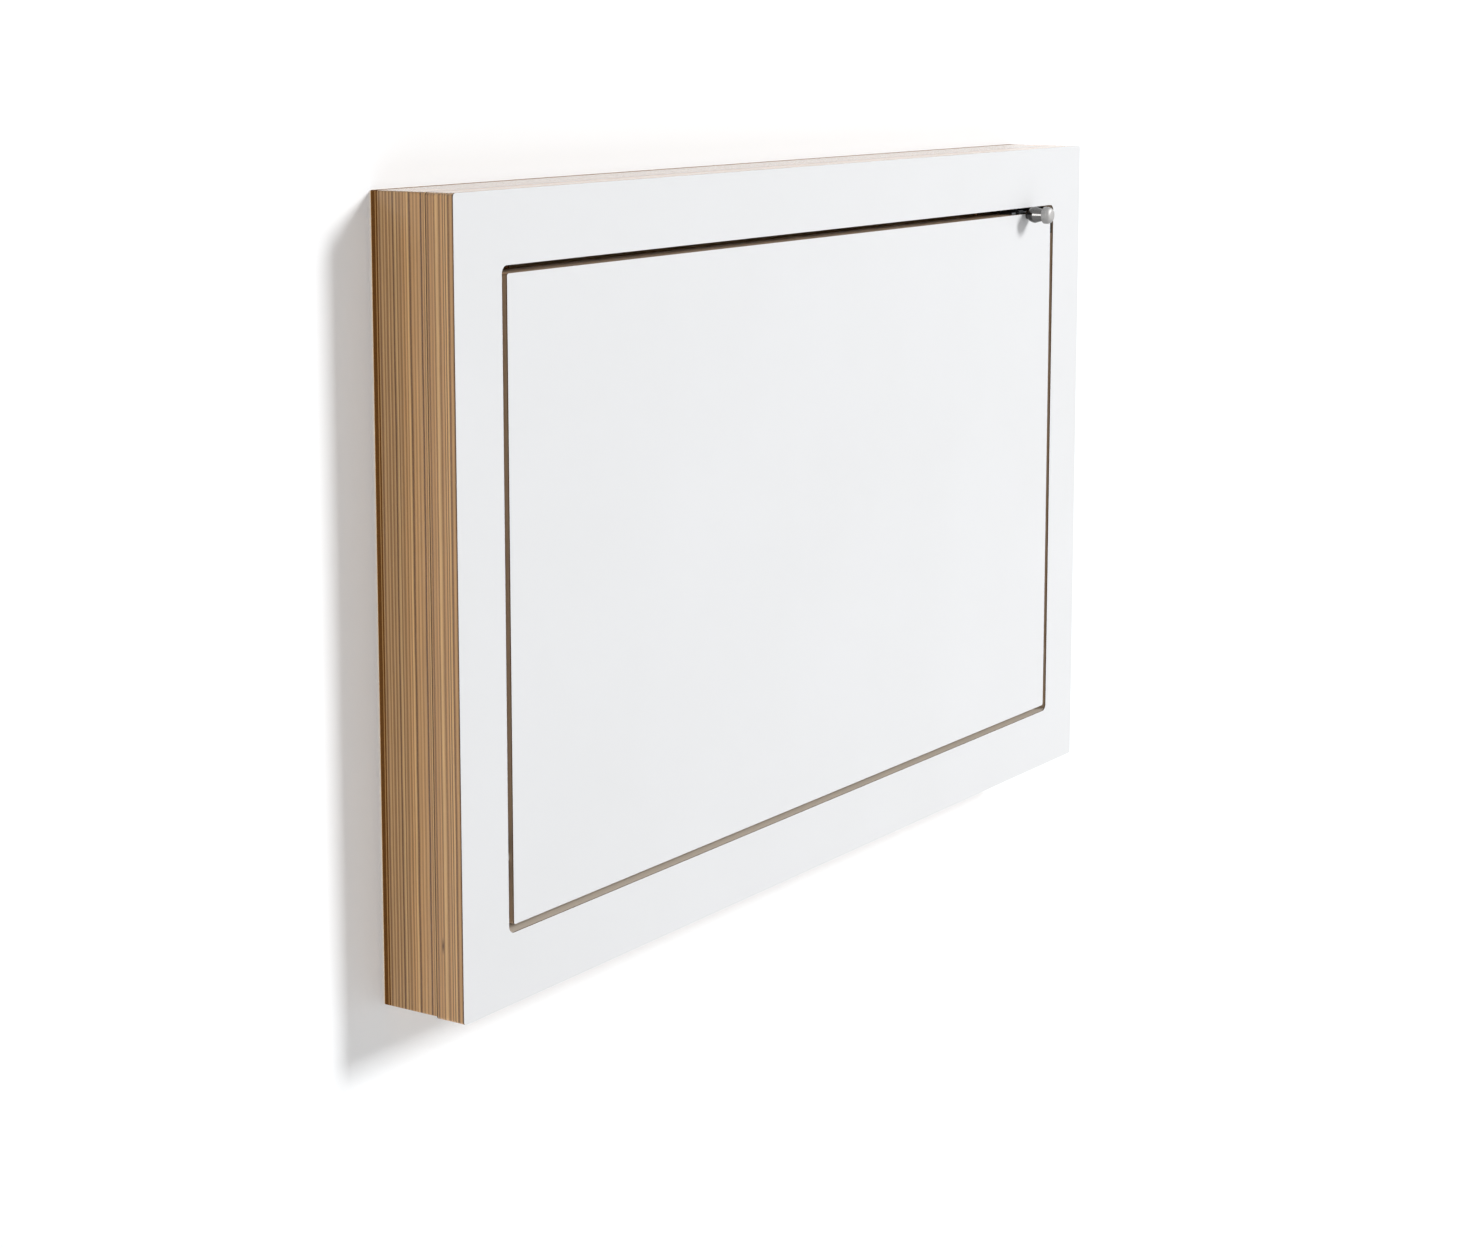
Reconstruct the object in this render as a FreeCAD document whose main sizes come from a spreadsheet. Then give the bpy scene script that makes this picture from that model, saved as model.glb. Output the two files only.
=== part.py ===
import FreeCAD, Part
import Sketcher
import os

# Fold-down wall desk, closed, in millimetres.
# X runs to the right, Y towards the wall and Z up. The origin is the middle of the back, on the wall.
# "Off the wall" is a distance from the wall towards the room, so it is minus Y.

SIZES = (
    # the case: two layers of plywood strips behind a laminated front frame
    ("desk_width", 800.0),
    ("desk_height", 500.0),
    ("face_border", 45.0),
    ("face_core", 19.4),
    ("laminate", 0.8),
    ("case_ply", 18.0),
    ("case_border", 30.0),
    ("back_ply", 5.0),
    ("bottom_reveal", 1.5),
    ("case_corner", 1.0),
    ("face_corner", 2.2),
    ("opening_corner", 5.0),
    # the flap and the pivots that it turns on
    ("flap_gap", 5.0),
    ("flap_corner", 1.5),
    ("pivot_from_face", 8.0),
    ("pivot_rise", 42.0),
    ("pin_radius", 2.5),
    ("pin_in_flap", 20.0),
    ("pin_clearance", 0.05),
    ("bush_wall", 1.5),
    ("bush_length", 24.0),
    ("plate_leg", 3.0),
    ("plate_foot", 2.5),
    ("plate_height", 30.0),
    ("plate_foot_width", 14.0),
    ("plate_front_setback", 4.0),
    ("plate_screw_spacing", 18.0),
    ("washer_radius", 5.0),
    ("washer_clearance", 0.1),
    # what stops the flap, open and closed
    ("stop_room", 2.0),
    ("stop_clearance", 0.25),
    ("stop_pad_width", 12.0),
    ("stop_pad_from_tail", 2.0),
    ("bumper_radius", 5.0),
    ("bumper_inset", 120.0),
    # the rails, shelf, lips and dividers inside
    ("hanging_rail_height", 40.0),
    ("rail_setback", 3.0),
    ("fitting_ply", 12.0),
    ("lip_ply", 6.0),
    ("fitting_setback", 5.0),
    ("pocket_height", 68.0),
    ("document_lip", 25.0),
    ("pocket_lip", 18.0),
    ("bay_divider_x", 70.0),
    # holes for the wall screws, and the screws that hold the case together
    ("wall_hole_radius", 3.0),
    ("wall_hole_inset", 70.0),
    ("case_screw_radius", 2.0),
    ("case_screw_length", 51.0),
    ("case_screw_x", 130.0),
    ("case_screw_z", 80.0),
    ("rail_screw_length", 20.0),
    ("rail_screw_x", 160.0),
    ("head_radius", 4.0),
    ("head_height", 2.4),
    ("small_screw_radius", 1.5),
    ("small_screw_length", 12.0),
    ("small_head_radius", 3.0),
    ("small_head_height", 1.4),
    ("socket_radius", 1.2),
    ("socket_depth", 1.1),
    # the slide bolt let into the flap's top edge
    ("guide_length", 55.0),
    ("guide_width", 16.0),
    ("guide_plate", 1.5),
    ("guide_depth", 4.2),
    ("guide_from_side", 2.0),
    ("guide_from_back", 2.5),
    ("strap_length", 7.0),
    ("strap_wall", 1.2),
    ("strap_leg", 2.0),
    ("strap_gap", 20.0),
    ("bolt_thickness", 4.0),
    ("bolt_clearance", 0.2),
    ("bolt_end_room", 1.5),
    ("bolt_setback", 0.5),
    ("bolt_travel", 11.0),
    ("bolt_hole_room", 0.5),
    ("guide_screw_inset", 6.0),
    # the knob on the bolt
    ("knob_inset", 39.0),
    ("stem_radius", 1.8),
    ("stem_room", 0.6),
    ("stem_hold", 8.0),
    ("knob_off_face", 0.4),
    ("neck_radius", 3.6),
    ("neck_length", 1.0),
    ("flare_length", 7.5),
    ("knob_radius", 6.6),
    ("barrel_length", 11.6),
    ("barrel_chamfer", 1.2),
    # the plate that the bolt slides into
    ("strike_plate", 1.5),
    ("strike_below", 15.0),
    ("strike_above", 1.5),
    ("strike_web", 0.5),
    ("strike_screw_drop", 8.5),
    ("strike_screw_spacing", 9.0),
)

PLACES = (
    ("half_width", "Sizes.desk_width / 2"),
    ("half_height", "Sizes.desk_height / 2"),
    ("case_floor", "Sizes.bottom_reveal - half_height"),
    # distances off the wall
    ("case_seam", "Sizes.back_ply + Sizes.case_ply"),
    ("board_back", "case_seam + Sizes.case_ply"),
    ("core_back", "board_back + Sizes.laminate"),
    ("core_front", "core_back + Sizes.face_core"),
    ("board_front", "core_front + Sizes.laminate"),
    # the opening, the flap and the hollow of the case
    ("open_x", "half_width - Sizes.face_border"),
    ("open_z", "half_height - Sizes.face_border"),
    ("flap_x", "open_x - Sizes.flap_gap"),
    ("flap_z", "open_z - Sizes.flap_gap"),
    ("hollow_x", "half_width - Sizes.case_border"),
    ("hollow_floor", "case_floor + Sizes.case_border"),
    ("hollow_top", "half_height - Sizes.case_border"),
    # the pivot axis, and the height of the writing surface when the flap is open
    ("axis_off", "board_front - Sizes.pivot_from_face"),
    ("axis_z", "Sizes.pivot_rise - flap_z"),
    ("desktop_z", "axis_z + axis_off - board_back"),
    ("tail_off", "axis_off - Sizes.pivot_rise"),
    # rails, shelf and lips
    ("stop_floor", "desktop_z + Sizes.stop_room"),
    ("stop_top", "stop_floor + Sizes.case_ply"),
    ("stop_middle", "stop_floor + Sizes.case_ply / 2"),
    ("rail_front", "board_back - Sizes.rail_setback"),
    ("hanging_floor", "hollow_top - Sizes.hanging_rail_height"),
    ("hanging_middle", "hollow_top - Sizes.hanging_rail_height / 2"),
    ("fitting_front", "board_back - Sizes.fitting_setback"),
    ("shelf_top", "hanging_floor - Sizes.pocket_height"),
    ("shelf_floor", "shelf_top - Sizes.fitting_ply"),
    ("shelf_middle", "shelf_floor + Sizes.fitting_ply / 2"),
    ("bay_height", "shelf_floor - stop_top"),
    ("pocket_spacing", "hollow_x / 2"),
    ("bumper_x", "flap_x - Sizes.bumper_inset"),
    ("wall_hole_x", "hollow_x - Sizes.wall_hole_inset"),
    ("case_screw_top", "half_height - Sizes.case_border / 2"),
    ("case_screw_floor", "case_floor + Sizes.case_border / 2"),
    ("case_screw_side", "half_width - Sizes.case_border / 2"),
    # pivots
    ("leg_x", "open_x - Sizes.plate_leg"),
    ("leg_front", "board_front - Sizes.plate_front_setback"),
    ("pin_x", "flap_x - Sizes.pin_in_flap"),
    ("bush_bore", "Sizes.pin_radius + Sizes.pin_clearance"),
    ("bush_radius", "bush_bore + Sizes.bush_wall"),
    ("plate_screw_x", "open_x + Sizes.plate_foot_width / 2"),
    # slide bolt
    ("guide_right", "flap_x - Sizes.guide_from_side"),
    ("guide_x", "guide_right - Sizes.guide_length"),
    ("guide_floor", "flap_z - Sizes.guide_depth"),
    ("guide_back", "board_back + Sizes.guide_from_back"),
    ("guide_middle", "guide_back + Sizes.guide_width / 2"),
    ("bolt_floor", "guide_floor + Sizes.guide_plate + Sizes.bolt_clearance"),
    ("bolt_top", "bolt_floor + Sizes.bolt_thickness"),
    ("bolt_middle", "bolt_floor + Sizes.bolt_thickness / 2"),
    ("bolt_back", "guide_back + Sizes.strap_leg + Sizes.bolt_clearance"),
    ("bolt_width", "Sizes.guide_width - 2 * Sizes.strap_leg - 2 * Sizes.bolt_clearance"),
    ("bolt_front", "bolt_back + bolt_width"),
    ("bolt_x", "guide_x + Sizes.bolt_end_room"),
    ("bolt_length", "flap_x - Sizes.bolt_setback - bolt_x"),
    ("strap_under", "bolt_top + Sizes.bolt_clearance"),
    ("knob_x", "flap_x - Sizes.knob_inset"),
    ("stem_slot", "Sizes.stem_radius + Sizes.stem_room"),
    ("left_strap_x", "knob_x - stem_slot - Sizes.strap_length"),
    ("right_strap_x", "left_strap_x + Sizes.strap_length + Sizes.strap_gap"),
    ("knob_back", "board_front + Sizes.knob_off_face"),
    # strike plate
    ("strike_floor", "bolt_floor - Sizes.strike_below"),
    ("strike_back", "core_back + Sizes.strike_web"),
    ("strike_depth", "Sizes.face_core - 2 * Sizes.strike_web"),
    ("strike_height", "Sizes.strike_below + Sizes.bolt_thickness + Sizes.strike_above"),
    ("strike_screw_z", "bolt_floor - Sizes.strike_screw_drop"),
)

RIGHT = (1, 0, 0)
LEFT = (-1, 0, 0)
TO_ROOM = (0, -1, 0)
TO_WALL = (0, 1, 0)
UP = (0, 0, 1)
DOWN = (0, 0, -1)
SIDES = (("left", -1, LEFT), ("right", 1, RIGHT))

document = FreeCAD.newDocument("fold_down_desk")
pieces = []


def make_sheet(name, rows, prefix):
    """Writes one aliased cell for each row, as plain numbers or as formulas."""
    sheet = document.addObject("Spreadsheet::Sheet", name)
    for number, (alias, content) in enumerate(rows, start=1):
        sheet.set(f"A{number}", alias)
        sheet.set(f"B{number}", f"{prefix}{content}")
        sheet.setAlias(f"B{number}", alias)
        document.recompute()
    return sheet


sizes = make_sheet("Sizes", SIZES, "")
places = make_sheet("Places", PLACES, "=")


def size(name):
    """The name of a driving dimension, as an expression."""
    return f"Sizes.{name}"


def place(name):
    """The name of a worked-out place, as an expression."""
    return f"Places.{name}"


def bind(thing, bindings):
    """Ties properties of a document object to expressions on the sheets."""
    for path, expression in bindings.items():
        thing.setExpression(path, expression)


def put(thing, x, off, z, direction=UP):
    """Sets a thing at x, off the wall and z, with its own Z axis along a direction."""
    thing.Placement.Rotation = FreeCAD.Rotation(FreeCAD.Vector(UP), FreeCAD.Vector(direction))
    bind(thing, {"Placement.Base.x": x, "Placement.Base.y": f"-({off})", "Placement.Base.z": z})
    return thing


def keep(label, thing):
    """Names a finished sub-part and lists it for writing."""
    thing.Label = label
    pieces.append(thing)
    return thing


def block(name, x, off, z, width, depth, height):
    """A box from its left, back and bottom: depth runs from off the wall towards the room."""
    thing = document.addObject("Part::Box", name)
    bind(thing, {"Length": width, "Width": depth, "Height": height})
    return put(thing, x, f"({off}) + ({depth})", z)


def rod(name, direction, x, off, z, radius, length):
    """A cylinder that starts at a point and runs along a direction."""
    thing = document.addObject("Part::Cylinder", name)
    bind(thing, {"Radius": radius, "Height": length})
    return put(thing, x, off, z, direction)


def taper(name, direction, x, off, z, radius, end_radius, length):
    """A cone that starts at a point and runs along a direction."""
    thing = document.addObject("Part::Cone", name)
    bind(thing, {"Radius1": radius, "Radius2": end_radius, "Height": length})
    return put(thing, x, off, z, direction)


def join(name, *things):
    """One solid from several that touch or overlap."""
    joined = document.addObject("Part::MultiFuse", name)
    joined.Shapes = list(things)
    joined.Refine = True
    return joined


def group(name, things):
    """Several separate solids under one name."""
    grouped = document.addObject("Part::Compound", name)
    grouped.Links = list(things)
    return grouped


def cut(name, base, *tools):
    """Takes the tools away from the base."""
    cut_shape = document.addObject("Part::Cut", name)
    cut_shape.Base = base
    cut_shape.Tool = tools[0] if len(tools) == 1 else group(f"{name}_tools", tools)
    return cut_shape


def overlap(name, base, limit):
    """The part of the base that lies inside the limit."""
    common = document.addObject("Part::Common", name)
    common.Base = base
    common.Tool = limit
    return common


def value(expression):
    """The number that an expression gives now, for a sketch's first guess."""
    return float(places.evalExpression(expression))


def fix_distance(sketch, kind, line, expression):
    """Holds the start of a line at a distance from the origin along X or Y."""
    constraint = Sketcher.Constraint(kind, -1, 1, line, 1, value(expression))
    index = sketch.addConstraint(constraint)
    sketch.setExpression(f"Constraints[{index}]", expression)


def draw_rectangle(sketch, left, right, floor, top, corner):
    """Draws a closed rectangle with round corners, fully constrained to expressions."""
    x_left, x_right, y_floor, y_top = value(left), value(right), value(floor), value(top)
    radius = value(corner)
    ends = (
        ((x_left + radius, y_floor), (x_right - radius, y_floor)),
        ((x_right, y_floor + radius), (x_right, y_top - radius)),
        ((x_right - radius, y_top), (x_left + radius, y_top)),
        ((x_left, y_top - radius), (x_left, y_floor + radius)),
    )
    centres = (
        (x_right - radius, y_floor + radius),
        (x_right - radius, y_top - radius),
        (x_left + radius, y_top - radius),
        (x_left + radius, y_floor + radius),
    )
    quarter = FreeCAD.Units.parseQuantity("90 deg").getValueAs("rad").Value
    lines = []
    arcs = []
    for start, end in ends:
        segment = Part.LineSegment(FreeCAD.Vector(*start, 0), FreeCAD.Vector(*end, 0))
        lines.append(sketch.addGeometry(segment))
    for turn, centre in enumerate(centres):
        circle = Part.Circle(FreeCAD.Vector(*centre, 0), FreeCAD.Vector(UP), radius)
        arc = Part.ArcOfCircle(circle, (turn - 1) * quarter, turn * quarter)
        arcs.append(sketch.addGeometry(arc))
    for turn in range(4):
        following = lines[(turn + 1) % 4]
        sketch.addConstraint(Sketcher.Constraint("Tangent", lines[turn], 2, arcs[turn], 1))
        sketch.addConstraint(Sketcher.Constraint("Tangent", arcs[turn], 2, following, 1))
        direction = "Vertical" if turn % 2 else "Horizontal"
        sketch.addConstraint(Sketcher.Constraint(direction, lines[turn]))
    for arc in arcs[1:]:
        sketch.addConstraint(Sketcher.Constraint("Equal", arcs[0], arc))
    rounding = sketch.addConstraint(Sketcher.Constraint("Radius", arcs[0], radius))
    sketch.setExpression(f"Constraints[{rounding}]", corner)
    fix_distance(sketch, "DistanceY", lines[0], floor)
    fix_distance(sketch, "DistanceX", lines[1], right)
    fix_distance(sketch, "DistanceY", lines[2], top)
    fix_distance(sketch, "DistanceX", lines[3], left)


def sheet_body(name, off, thickness, *rectangles):
    """A flat board parallel to the wall, padded from a sketch of rounded rectangles."""
    body = document.addObject("PartDesign::Body", name)
    sketch = body.newObject("Sketcher::SketchObject", f"{name}_sketch")
    plane = next(feature for feature in body.Origin.OriginFeatures if feature.Role == "XZ_Plane")
    sketch.AttachmentSupport = (plane, [""])
    sketch.MapMode = "FlatFace"
    sketch.setExpression("AttachmentOffset.Base.z", off)
    for rectangle in rectangles:
        draw_rectangle(sketch, *rectangle)
    pad = body.newObject("PartDesign::Pad", f"{name}_pad")
    pad.Profile = sketch
    pad.setExpression("Length", thickness)
    return body


def mirrored(sign, near, width):
    """The lower X of a span that starts at near and is width wide, on the side of the sign."""
    return near if sign > 0 else f"-({near}) - ({width})"


def screw(name, direction, x, off, z, kind, length):
    """A countersunk screw and the plain blank that cuts its hole, from the middle of its head."""
    small = kind == "small"
    radius = size("small_screw_radius" if small else "case_screw_radius")
    head_radius = size("small_head_radius" if small else "head_radius")
    head_height = size("small_head_height" if small else "head_height")
    head = taper(f"{name}_head", direction, x, off, z, head_radius, radius, head_height)
    shank = rod(f"{name}_shank", direction, x, off, z, radius, length)
    blank = join(f"{name}_blank", head, shank)
    socket = document.addObject("Part::Prism", f"{name}_socket")
    socket.Polygon = 6
    bind(socket, {"Circumradius": size("socket_radius"), "Height": size("socket_depth")})
    put(socket, x, off, z, direction)
    return cut(f"{name}_screw", blank, socket), blank


def screw_set(label, direction, spots, kind, length):
    """A group of like screws under one name, and the blanks that cut their holes."""
    made = [
        screw(f"{label}_{number}", direction, *spot, kind, length)
        for number, spot in enumerate(spots, start=1)
    ]
    keep(label, group(f"{label}_group", [each for each, blank in made]))
    return [blank for each, blank in made]


# Outlines that several boards share
case_outline = (
    f"-{place('half_width')}",
    place("half_width"),
    place("case_floor"),
    place("half_height"),
    size("case_corner"),
)
face_outline = (
    f"-{place('half_width')}",
    place("half_width"),
    f"-{place('half_height')}",
    place("half_height"),
    size("face_corner"),
)
face_opening = (
    f"-{place('open_x')}",
    place("open_x"),
    f"-{place('open_z')}",
    place("open_z"),
    size("opening_corner"),
)
flap_outline = (
    f"-{place('flap_x')}",
    place("flap_x"),
    f"-{place('flap_z')}",
    place("flap_z"),
    size("flap_corner"),
)

# Screws that hold the case together, from the back
case_screw_spots = [
    (f"{sign} * ({x})", "0", place(z))
    for z in ("case_screw_top", "case_screw_floor")
    for x in (place("case_screw_side"), size("case_screw_x"))
    for sign in (-1, 1)
]
case_screw_spots += [
    (f"{sign} * {place('case_screw_side')}", "0", f"{rise} * {size('case_screw_z')}")
    for sign in (-1, 1)
    for rise in (-1, 1)
]
case_blanks = screw_set("case_screws", TO_ROOM, case_screw_spots, "case", size("case_screw_length"))
rail_screw_spots = [
    (f"{column} * {size('rail_screw_x')}", "0", place(z))
    for z in ("hanging_middle", "stop_middle")
    for column in (-1, 0, 1)
]
rail_blanks = screw_set("rail_screws", TO_ROOM, rail_screw_spots, "case", size("rail_screw_length"))

# Holes for the screws that go into the wall
wall_holes = [
    rod(
        f"wall_hole_{z}_{side}",
        TO_ROOM,
        f"{sign} * {place('wall_hole_x')}",
        "0",
        place(z),
        size("wall_hole_radius"),
        place("board_back"),
    )
    for z in ("hanging_middle", "stop_middle")
    for side, sign, outward in SIDES
]

# Pivots: a plate with a pin on the frame, a washer, and a bush in the flap's edge
plate_screw_spots = [
    (
        f"{sign} * {place('plate_screw_x')}",
        f"{place('board_back')} - {size('plate_foot')}",
        f"{place('axis_z')} + {rise} * {size('plate_screw_spacing')} / 2",
    )
    for side, sign, outward in SIDES
    for rise in (-1, 1)
]
plate_blanks = screw_set(
    "pivot_plate_screws", TO_ROOM, plate_screw_spots, "small", size("small_screw_length")
)
bush_holes = []
for side, sign, outward in SIDES:
    plate_floor = f"{place('axis_z')} - {size('plate_height')} / 2"
    foot_back = f"{place('board_back')} - {size('plate_foot')}"
    leg = block(
        f"{side}_plate_leg",
        mirrored(sign, place("leg_x"), size("plate_leg")),
        foot_back,
        plate_floor,
        size("plate_leg"),
        f"{place('leg_front')} - ({foot_back})",
        size("plate_height"),
    )
    foot = block(
        f"{side}_plate_foot",
        mirrored(sign, place("leg_x"), f"{size('plate_leg')} + {size('plate_foot_width')}"),
        foot_back,
        plate_floor,
        f"{size('plate_leg')} + {size('plate_foot_width')}",
        size("plate_foot"),
        size("plate_height"),
    )
    pin = rod(
        f"{side}_pin",
        outward,
        f"{sign} * {place('pin_x')}",
        place("axis_off"),
        place("axis_z"),
        size("pin_radius"),
        f"{place('open_x')} - {place('pin_x')}",
    )
    keep(f"{side}_pivot_pin", pin)
    bent_plate = join(f"{side}_bent_plate", leg, foot)
    keep(f"{side}_pivot_plate", cut(f"{side}_plate_cut", bent_plate, pin, *plate_blanks))

    washer_x = f"{place('flap_x')} + {size('washer_clearance')}"
    washer_length = f"{place('leg_x')} - {size('washer_clearance')} - ({washer_x})"
    washer_disc = rod(
        f"{side}_washer_disc",
        outward,
        f"{sign} * ({washer_x})",
        place("axis_off"),
        place("axis_z"),
        size("washer_radius"),
        washer_length,
    )
    washer_bore = rod(
        f"{side}_washer_bore",
        outward,
        f"{sign} * ({washer_x})",
        place("axis_off"),
        place("axis_z"),
        place("bush_bore"),
        washer_length,
    )
    keep(f"{side}_pivot_washer", cut(f"{side}_washer_cut", washer_disc, washer_bore))

    bush_x = f"{sign} * ({place('flap_x')} - {size('bush_length')})"
    bush_hole = rod(
        f"{side}_bush_hole",
        outward,
        bush_x,
        place("axis_off"),
        place("axis_z"),
        place("bush_radius"),
        size("bush_length"),
    )
    bush_bore = rod(
        f"{side}_bush_bore",
        outward,
        bush_x,
        place("axis_off"),
        place("axis_z"),
        place("bush_bore"),
        size("bush_length"),
    )
    keep(f"{side}_pivot_bush", cut(f"{side}_bush_cut", bush_hole, bush_bore))
    bush_holes.append(bush_hole)

# Strike plate for the bolt, let into the frame's right edge
strike_screw_spots = [
    (
        place("open_x"),
        f"{place('guide_middle')} + {side} * {size('strike_screw_spacing')} / 2",
        place("strike_screw_z"),
    )
    for side in (-1, 1)
]
strike_blanks = screw_set(
    "strike_screws", RIGHT, strike_screw_spots, "small", size("small_screw_length")
)
strike_blank = block(
    "strike_blank",
    place("open_x"),
    place("strike_back"),
    place("strike_floor"),
    size("strike_plate"),
    place("strike_depth"),
    place("strike_height"),
)
strike_recess = block(
    "strike_recess",
    f"{place('open_x')} - {size('opening_corner')}",
    place("strike_back"),
    place("strike_floor"),
    f"{size('opening_corner')} + {size('strike_plate')}",
    place("strike_depth"),
    place("strike_height"),
)
bolt_hole = block(
    "bolt_hole",
    place("open_x"),
    f"{place('bolt_back')} - {size('bolt_hole_room')}",
    f"{place('bolt_floor')} - {size('bolt_hole_room')}",
    f"{size('bolt_travel')} + {size('bolt_hole_room')} - {size('flap_gap')}",
    f"{place('bolt_width')} + 2 * {size('bolt_hole_room')}",
    f"{size('bolt_thickness')} + 2 * {size('bolt_hole_room')}",
)
keep("strike_plate", cut("strike_cut", strike_blank, bolt_hole, *strike_blanks))

# Case boards, from the wall towards the room
back_sheet = sheet_body("back_sheet", "0", size("back_ply"), case_outline)
keep("back_panel", cut("back_cut", back_sheet, *case_blanks, *rail_blanks, *wall_holes))
case_height = f"{place('half_height')} - {place('case_floor')}"
rail_length = f"2 * {place('hollow_x')}"
case_strips = (
    ("left_stile", f"-{place('half_width')}", place("case_floor"), size("case_border"), case_height),
    ("right_stile", place("hollow_x"), place("case_floor"), size("case_border"), case_height),
    ("top_rail", f"-{place('hollow_x')}", place("hollow_top"), rail_length, size("case_border")),
    ("bottom_rail", f"-{place('hollow_x')}", place("case_floor"), rail_length, size("case_border")),
)
for layer, off in (("rear", size("back_ply")), ("front", place("case_seam"))):
    layer_sheet = sheet_body(f"{layer}_sheet", off, size("case_ply"), case_outline)
    for strip, left, floor, width, height in case_strips:
        name = f"{layer}_{strip}"
        strip_blank = block(f"{name}_blank", left, off, floor, width, size("case_ply"), height)
        strip_board = overlap(f"{name}_board", layer_sheet, strip_blank)
        keep(name, cut(f"{name}_cut", strip_board, *case_blanks))
backing_sheet = sheet_body(
    "backing_sheet", place("board_back"), size("laminate"), face_outline, face_opening
)
keep("frame_backing_laminate", cut("backing_cut", backing_sheet, *case_blanks, *plate_blanks))
core_sheet = sheet_body(
    "core_sheet", place("core_back"), size("face_core"), face_outline, face_opening
)
keep(
    "front_frame",
    cut("core_cut", core_sheet, *case_blanks, *plate_blanks, *strike_blanks, strike_recess, bolt_hole),
)
keep(
    "frame_face_laminate",
    sheet_body("face_sheet", place("core_front"), size("laminate"), face_outline, face_opening),
)

# Rails: one hangs the case on the wall, the other stops the tail of the open flap
hanging_board = block(
    "hanging_board",
    f"-{place('hollow_x')}",
    size("back_ply"),
    place("hanging_floor"),
    f"2 * {place('hollow_x')}",
    size("case_ply"),
    size("hanging_rail_height"),
)
keep("hanging_rail", cut("hanging_cut", hanging_board, *rail_blanks, *wall_holes))
stop_board = block(
    "stop_board",
    f"-{place('hollow_x')}",
    size("back_ply"),
    place("stop_floor"),
    f"2 * {place('hollow_x')}",
    f"{place('rail_front')} - {size('back_ply')}",
    size("case_ply"),
)
keep("stop_rail", cut("stop_cut", stop_board, *rail_blanks, *wall_holes))
keep(
    "stop_pad",
    block(
        "stop_pad_strip",
        f"-{place('flap_x')}",
        f"{place('tail_off')} + {size('stop_pad_from_tail')}",
        f"{place('desktop_z')} + {size('stop_clearance')}",
        f"2 * {place('flap_x')}",
        size("stop_pad_width"),
        f"{size('stop_room')} - {size('stop_clearance')}",
    ),
)

# Shelf, lips and dividers
fitting_depth = f"{place('fitting_front')} - {size('back_ply')}"
keep(
    "shelf",
    block(
        "shelf_board",
        f"-{place('hollow_x')}",
        size("back_ply"),
        place("shelf_floor"),
        f"2 * {place('hollow_x')}",
        fitting_depth,
        size("fitting_ply"),
    ),
)
document_lip_back = f"{place('rail_front')} - {size('lip_ply')}"
pocket_lip_back = f"{place('fitting_front')} - {size('lip_ply')}"
keep(
    "document_lip",
    block(
        "document_lip_strip",
        f"-{place('hollow_x')}",
        document_lip_back,
        place("stop_top"),
        f"2 * {place('hollow_x')}",
        size("lip_ply"),
        size("document_lip"),
    ),
)
keep(
    "pocket_lip",
    block(
        "pocket_lip_strip",
        f"-{place('hollow_x')}",
        pocket_lip_back,
        place("shelf_top"),
        f"2 * {place('hollow_x')}",
        size("lip_ply"),
        size("pocket_lip"),
    ),
)
keep(
    "bay_divider",
    block(
        "bay_divider_board",
        size("bay_divider_x"),
        size("back_ply"),
        place("stop_top"),
        size("fitting_ply"),
        f"{document_lip_back} - {size('back_ply')}",
        place("bay_height"),
    ),
)
for column, name in ((-1, "left"), (0, "middle"), (1, "right")):
    keep(
        f"{name}_pocket_divider",
        block(
            f"{name}_pocket_board",
            f"{column} * {place('pocket_spacing')} - {size('fitting_ply')} / 2",
            size("back_ply"),
            place("shelf_top"),
            size("fitting_ply"),
            f"{pocket_lip_back} - {size('back_ply')}",
            size("pocket_height"),
        ),
    )

# Soft bumpers that the closed flap rests on
for name, front, z in (
    ("upper", place("fitting_front"), place("shelf_middle")),
    ("lower", place("rail_front"), place("stop_middle")),
):
    for side, sign, outward in SIDES:
        bumper_x = f"{sign} * {place('bumper_x')}"
        bumper_length = f"{place('board_back')} - {size('stop_clearance')} - {front}"
        bumper = rod(
            f"{name}_{side}_disc",
            TO_ROOM,
            bumper_x,
            front,
            z,
            size("bumper_radius"),
            bumper_length,
        )
        keep(f"{name}_{side}_bumper", bumper)

# Slide bolt: a guide let into the flap's top edge, the bolt and its knob
guide_screw_spots = [
    (x, place("guide_middle"), f"{place('guide_floor')} + {size('guide_plate')}")
    for x in (
        f"{place('guide_x')} + {size('guide_screw_inset')}",
        f"{place('guide_right')} - {size('guide_screw_inset')}",
    )
]
guide_blanks = screw_set(
    "bolt_guide_screws", DOWN, guide_screw_spots, "small", size("small_screw_length")
)
guide_base = block(
    "guide_base",
    place("guide_x"),
    place("guide_back"),
    place("guide_floor"),
    size("guide_length"),
    size("guide_width"),
    size("guide_plate"),
)
straps = [
    block(
        f"strap_{name}",
        place(f"{name}_strap_x"),
        place("guide_back"),
        place("guide_floor"),
        size("strap_length"),
        size("guide_width"),
        f"{place('strap_under')} + {size('strap_wall')} - {place('guide_floor')}",
    )
    for name in ("left", "right")
]
bolt_way = block(
    "bolt_way",
    place("guide_x"),
    f"{place('guide_back')} + {size('strap_leg')}",
    f"{place('guide_floor')} + {size('guide_plate')}",
    size("guide_length"),
    f"{size('guide_width')} - 2 * {size('strap_leg')}",
    f"{size('bolt_thickness')} + 2 * {size('bolt_clearance')}",
)
guide_solid = join("guide_solid", guide_base, *straps)
keep("bolt_guide", cut("guide_cut", guide_solid, bolt_way, *guide_blanks))

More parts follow.
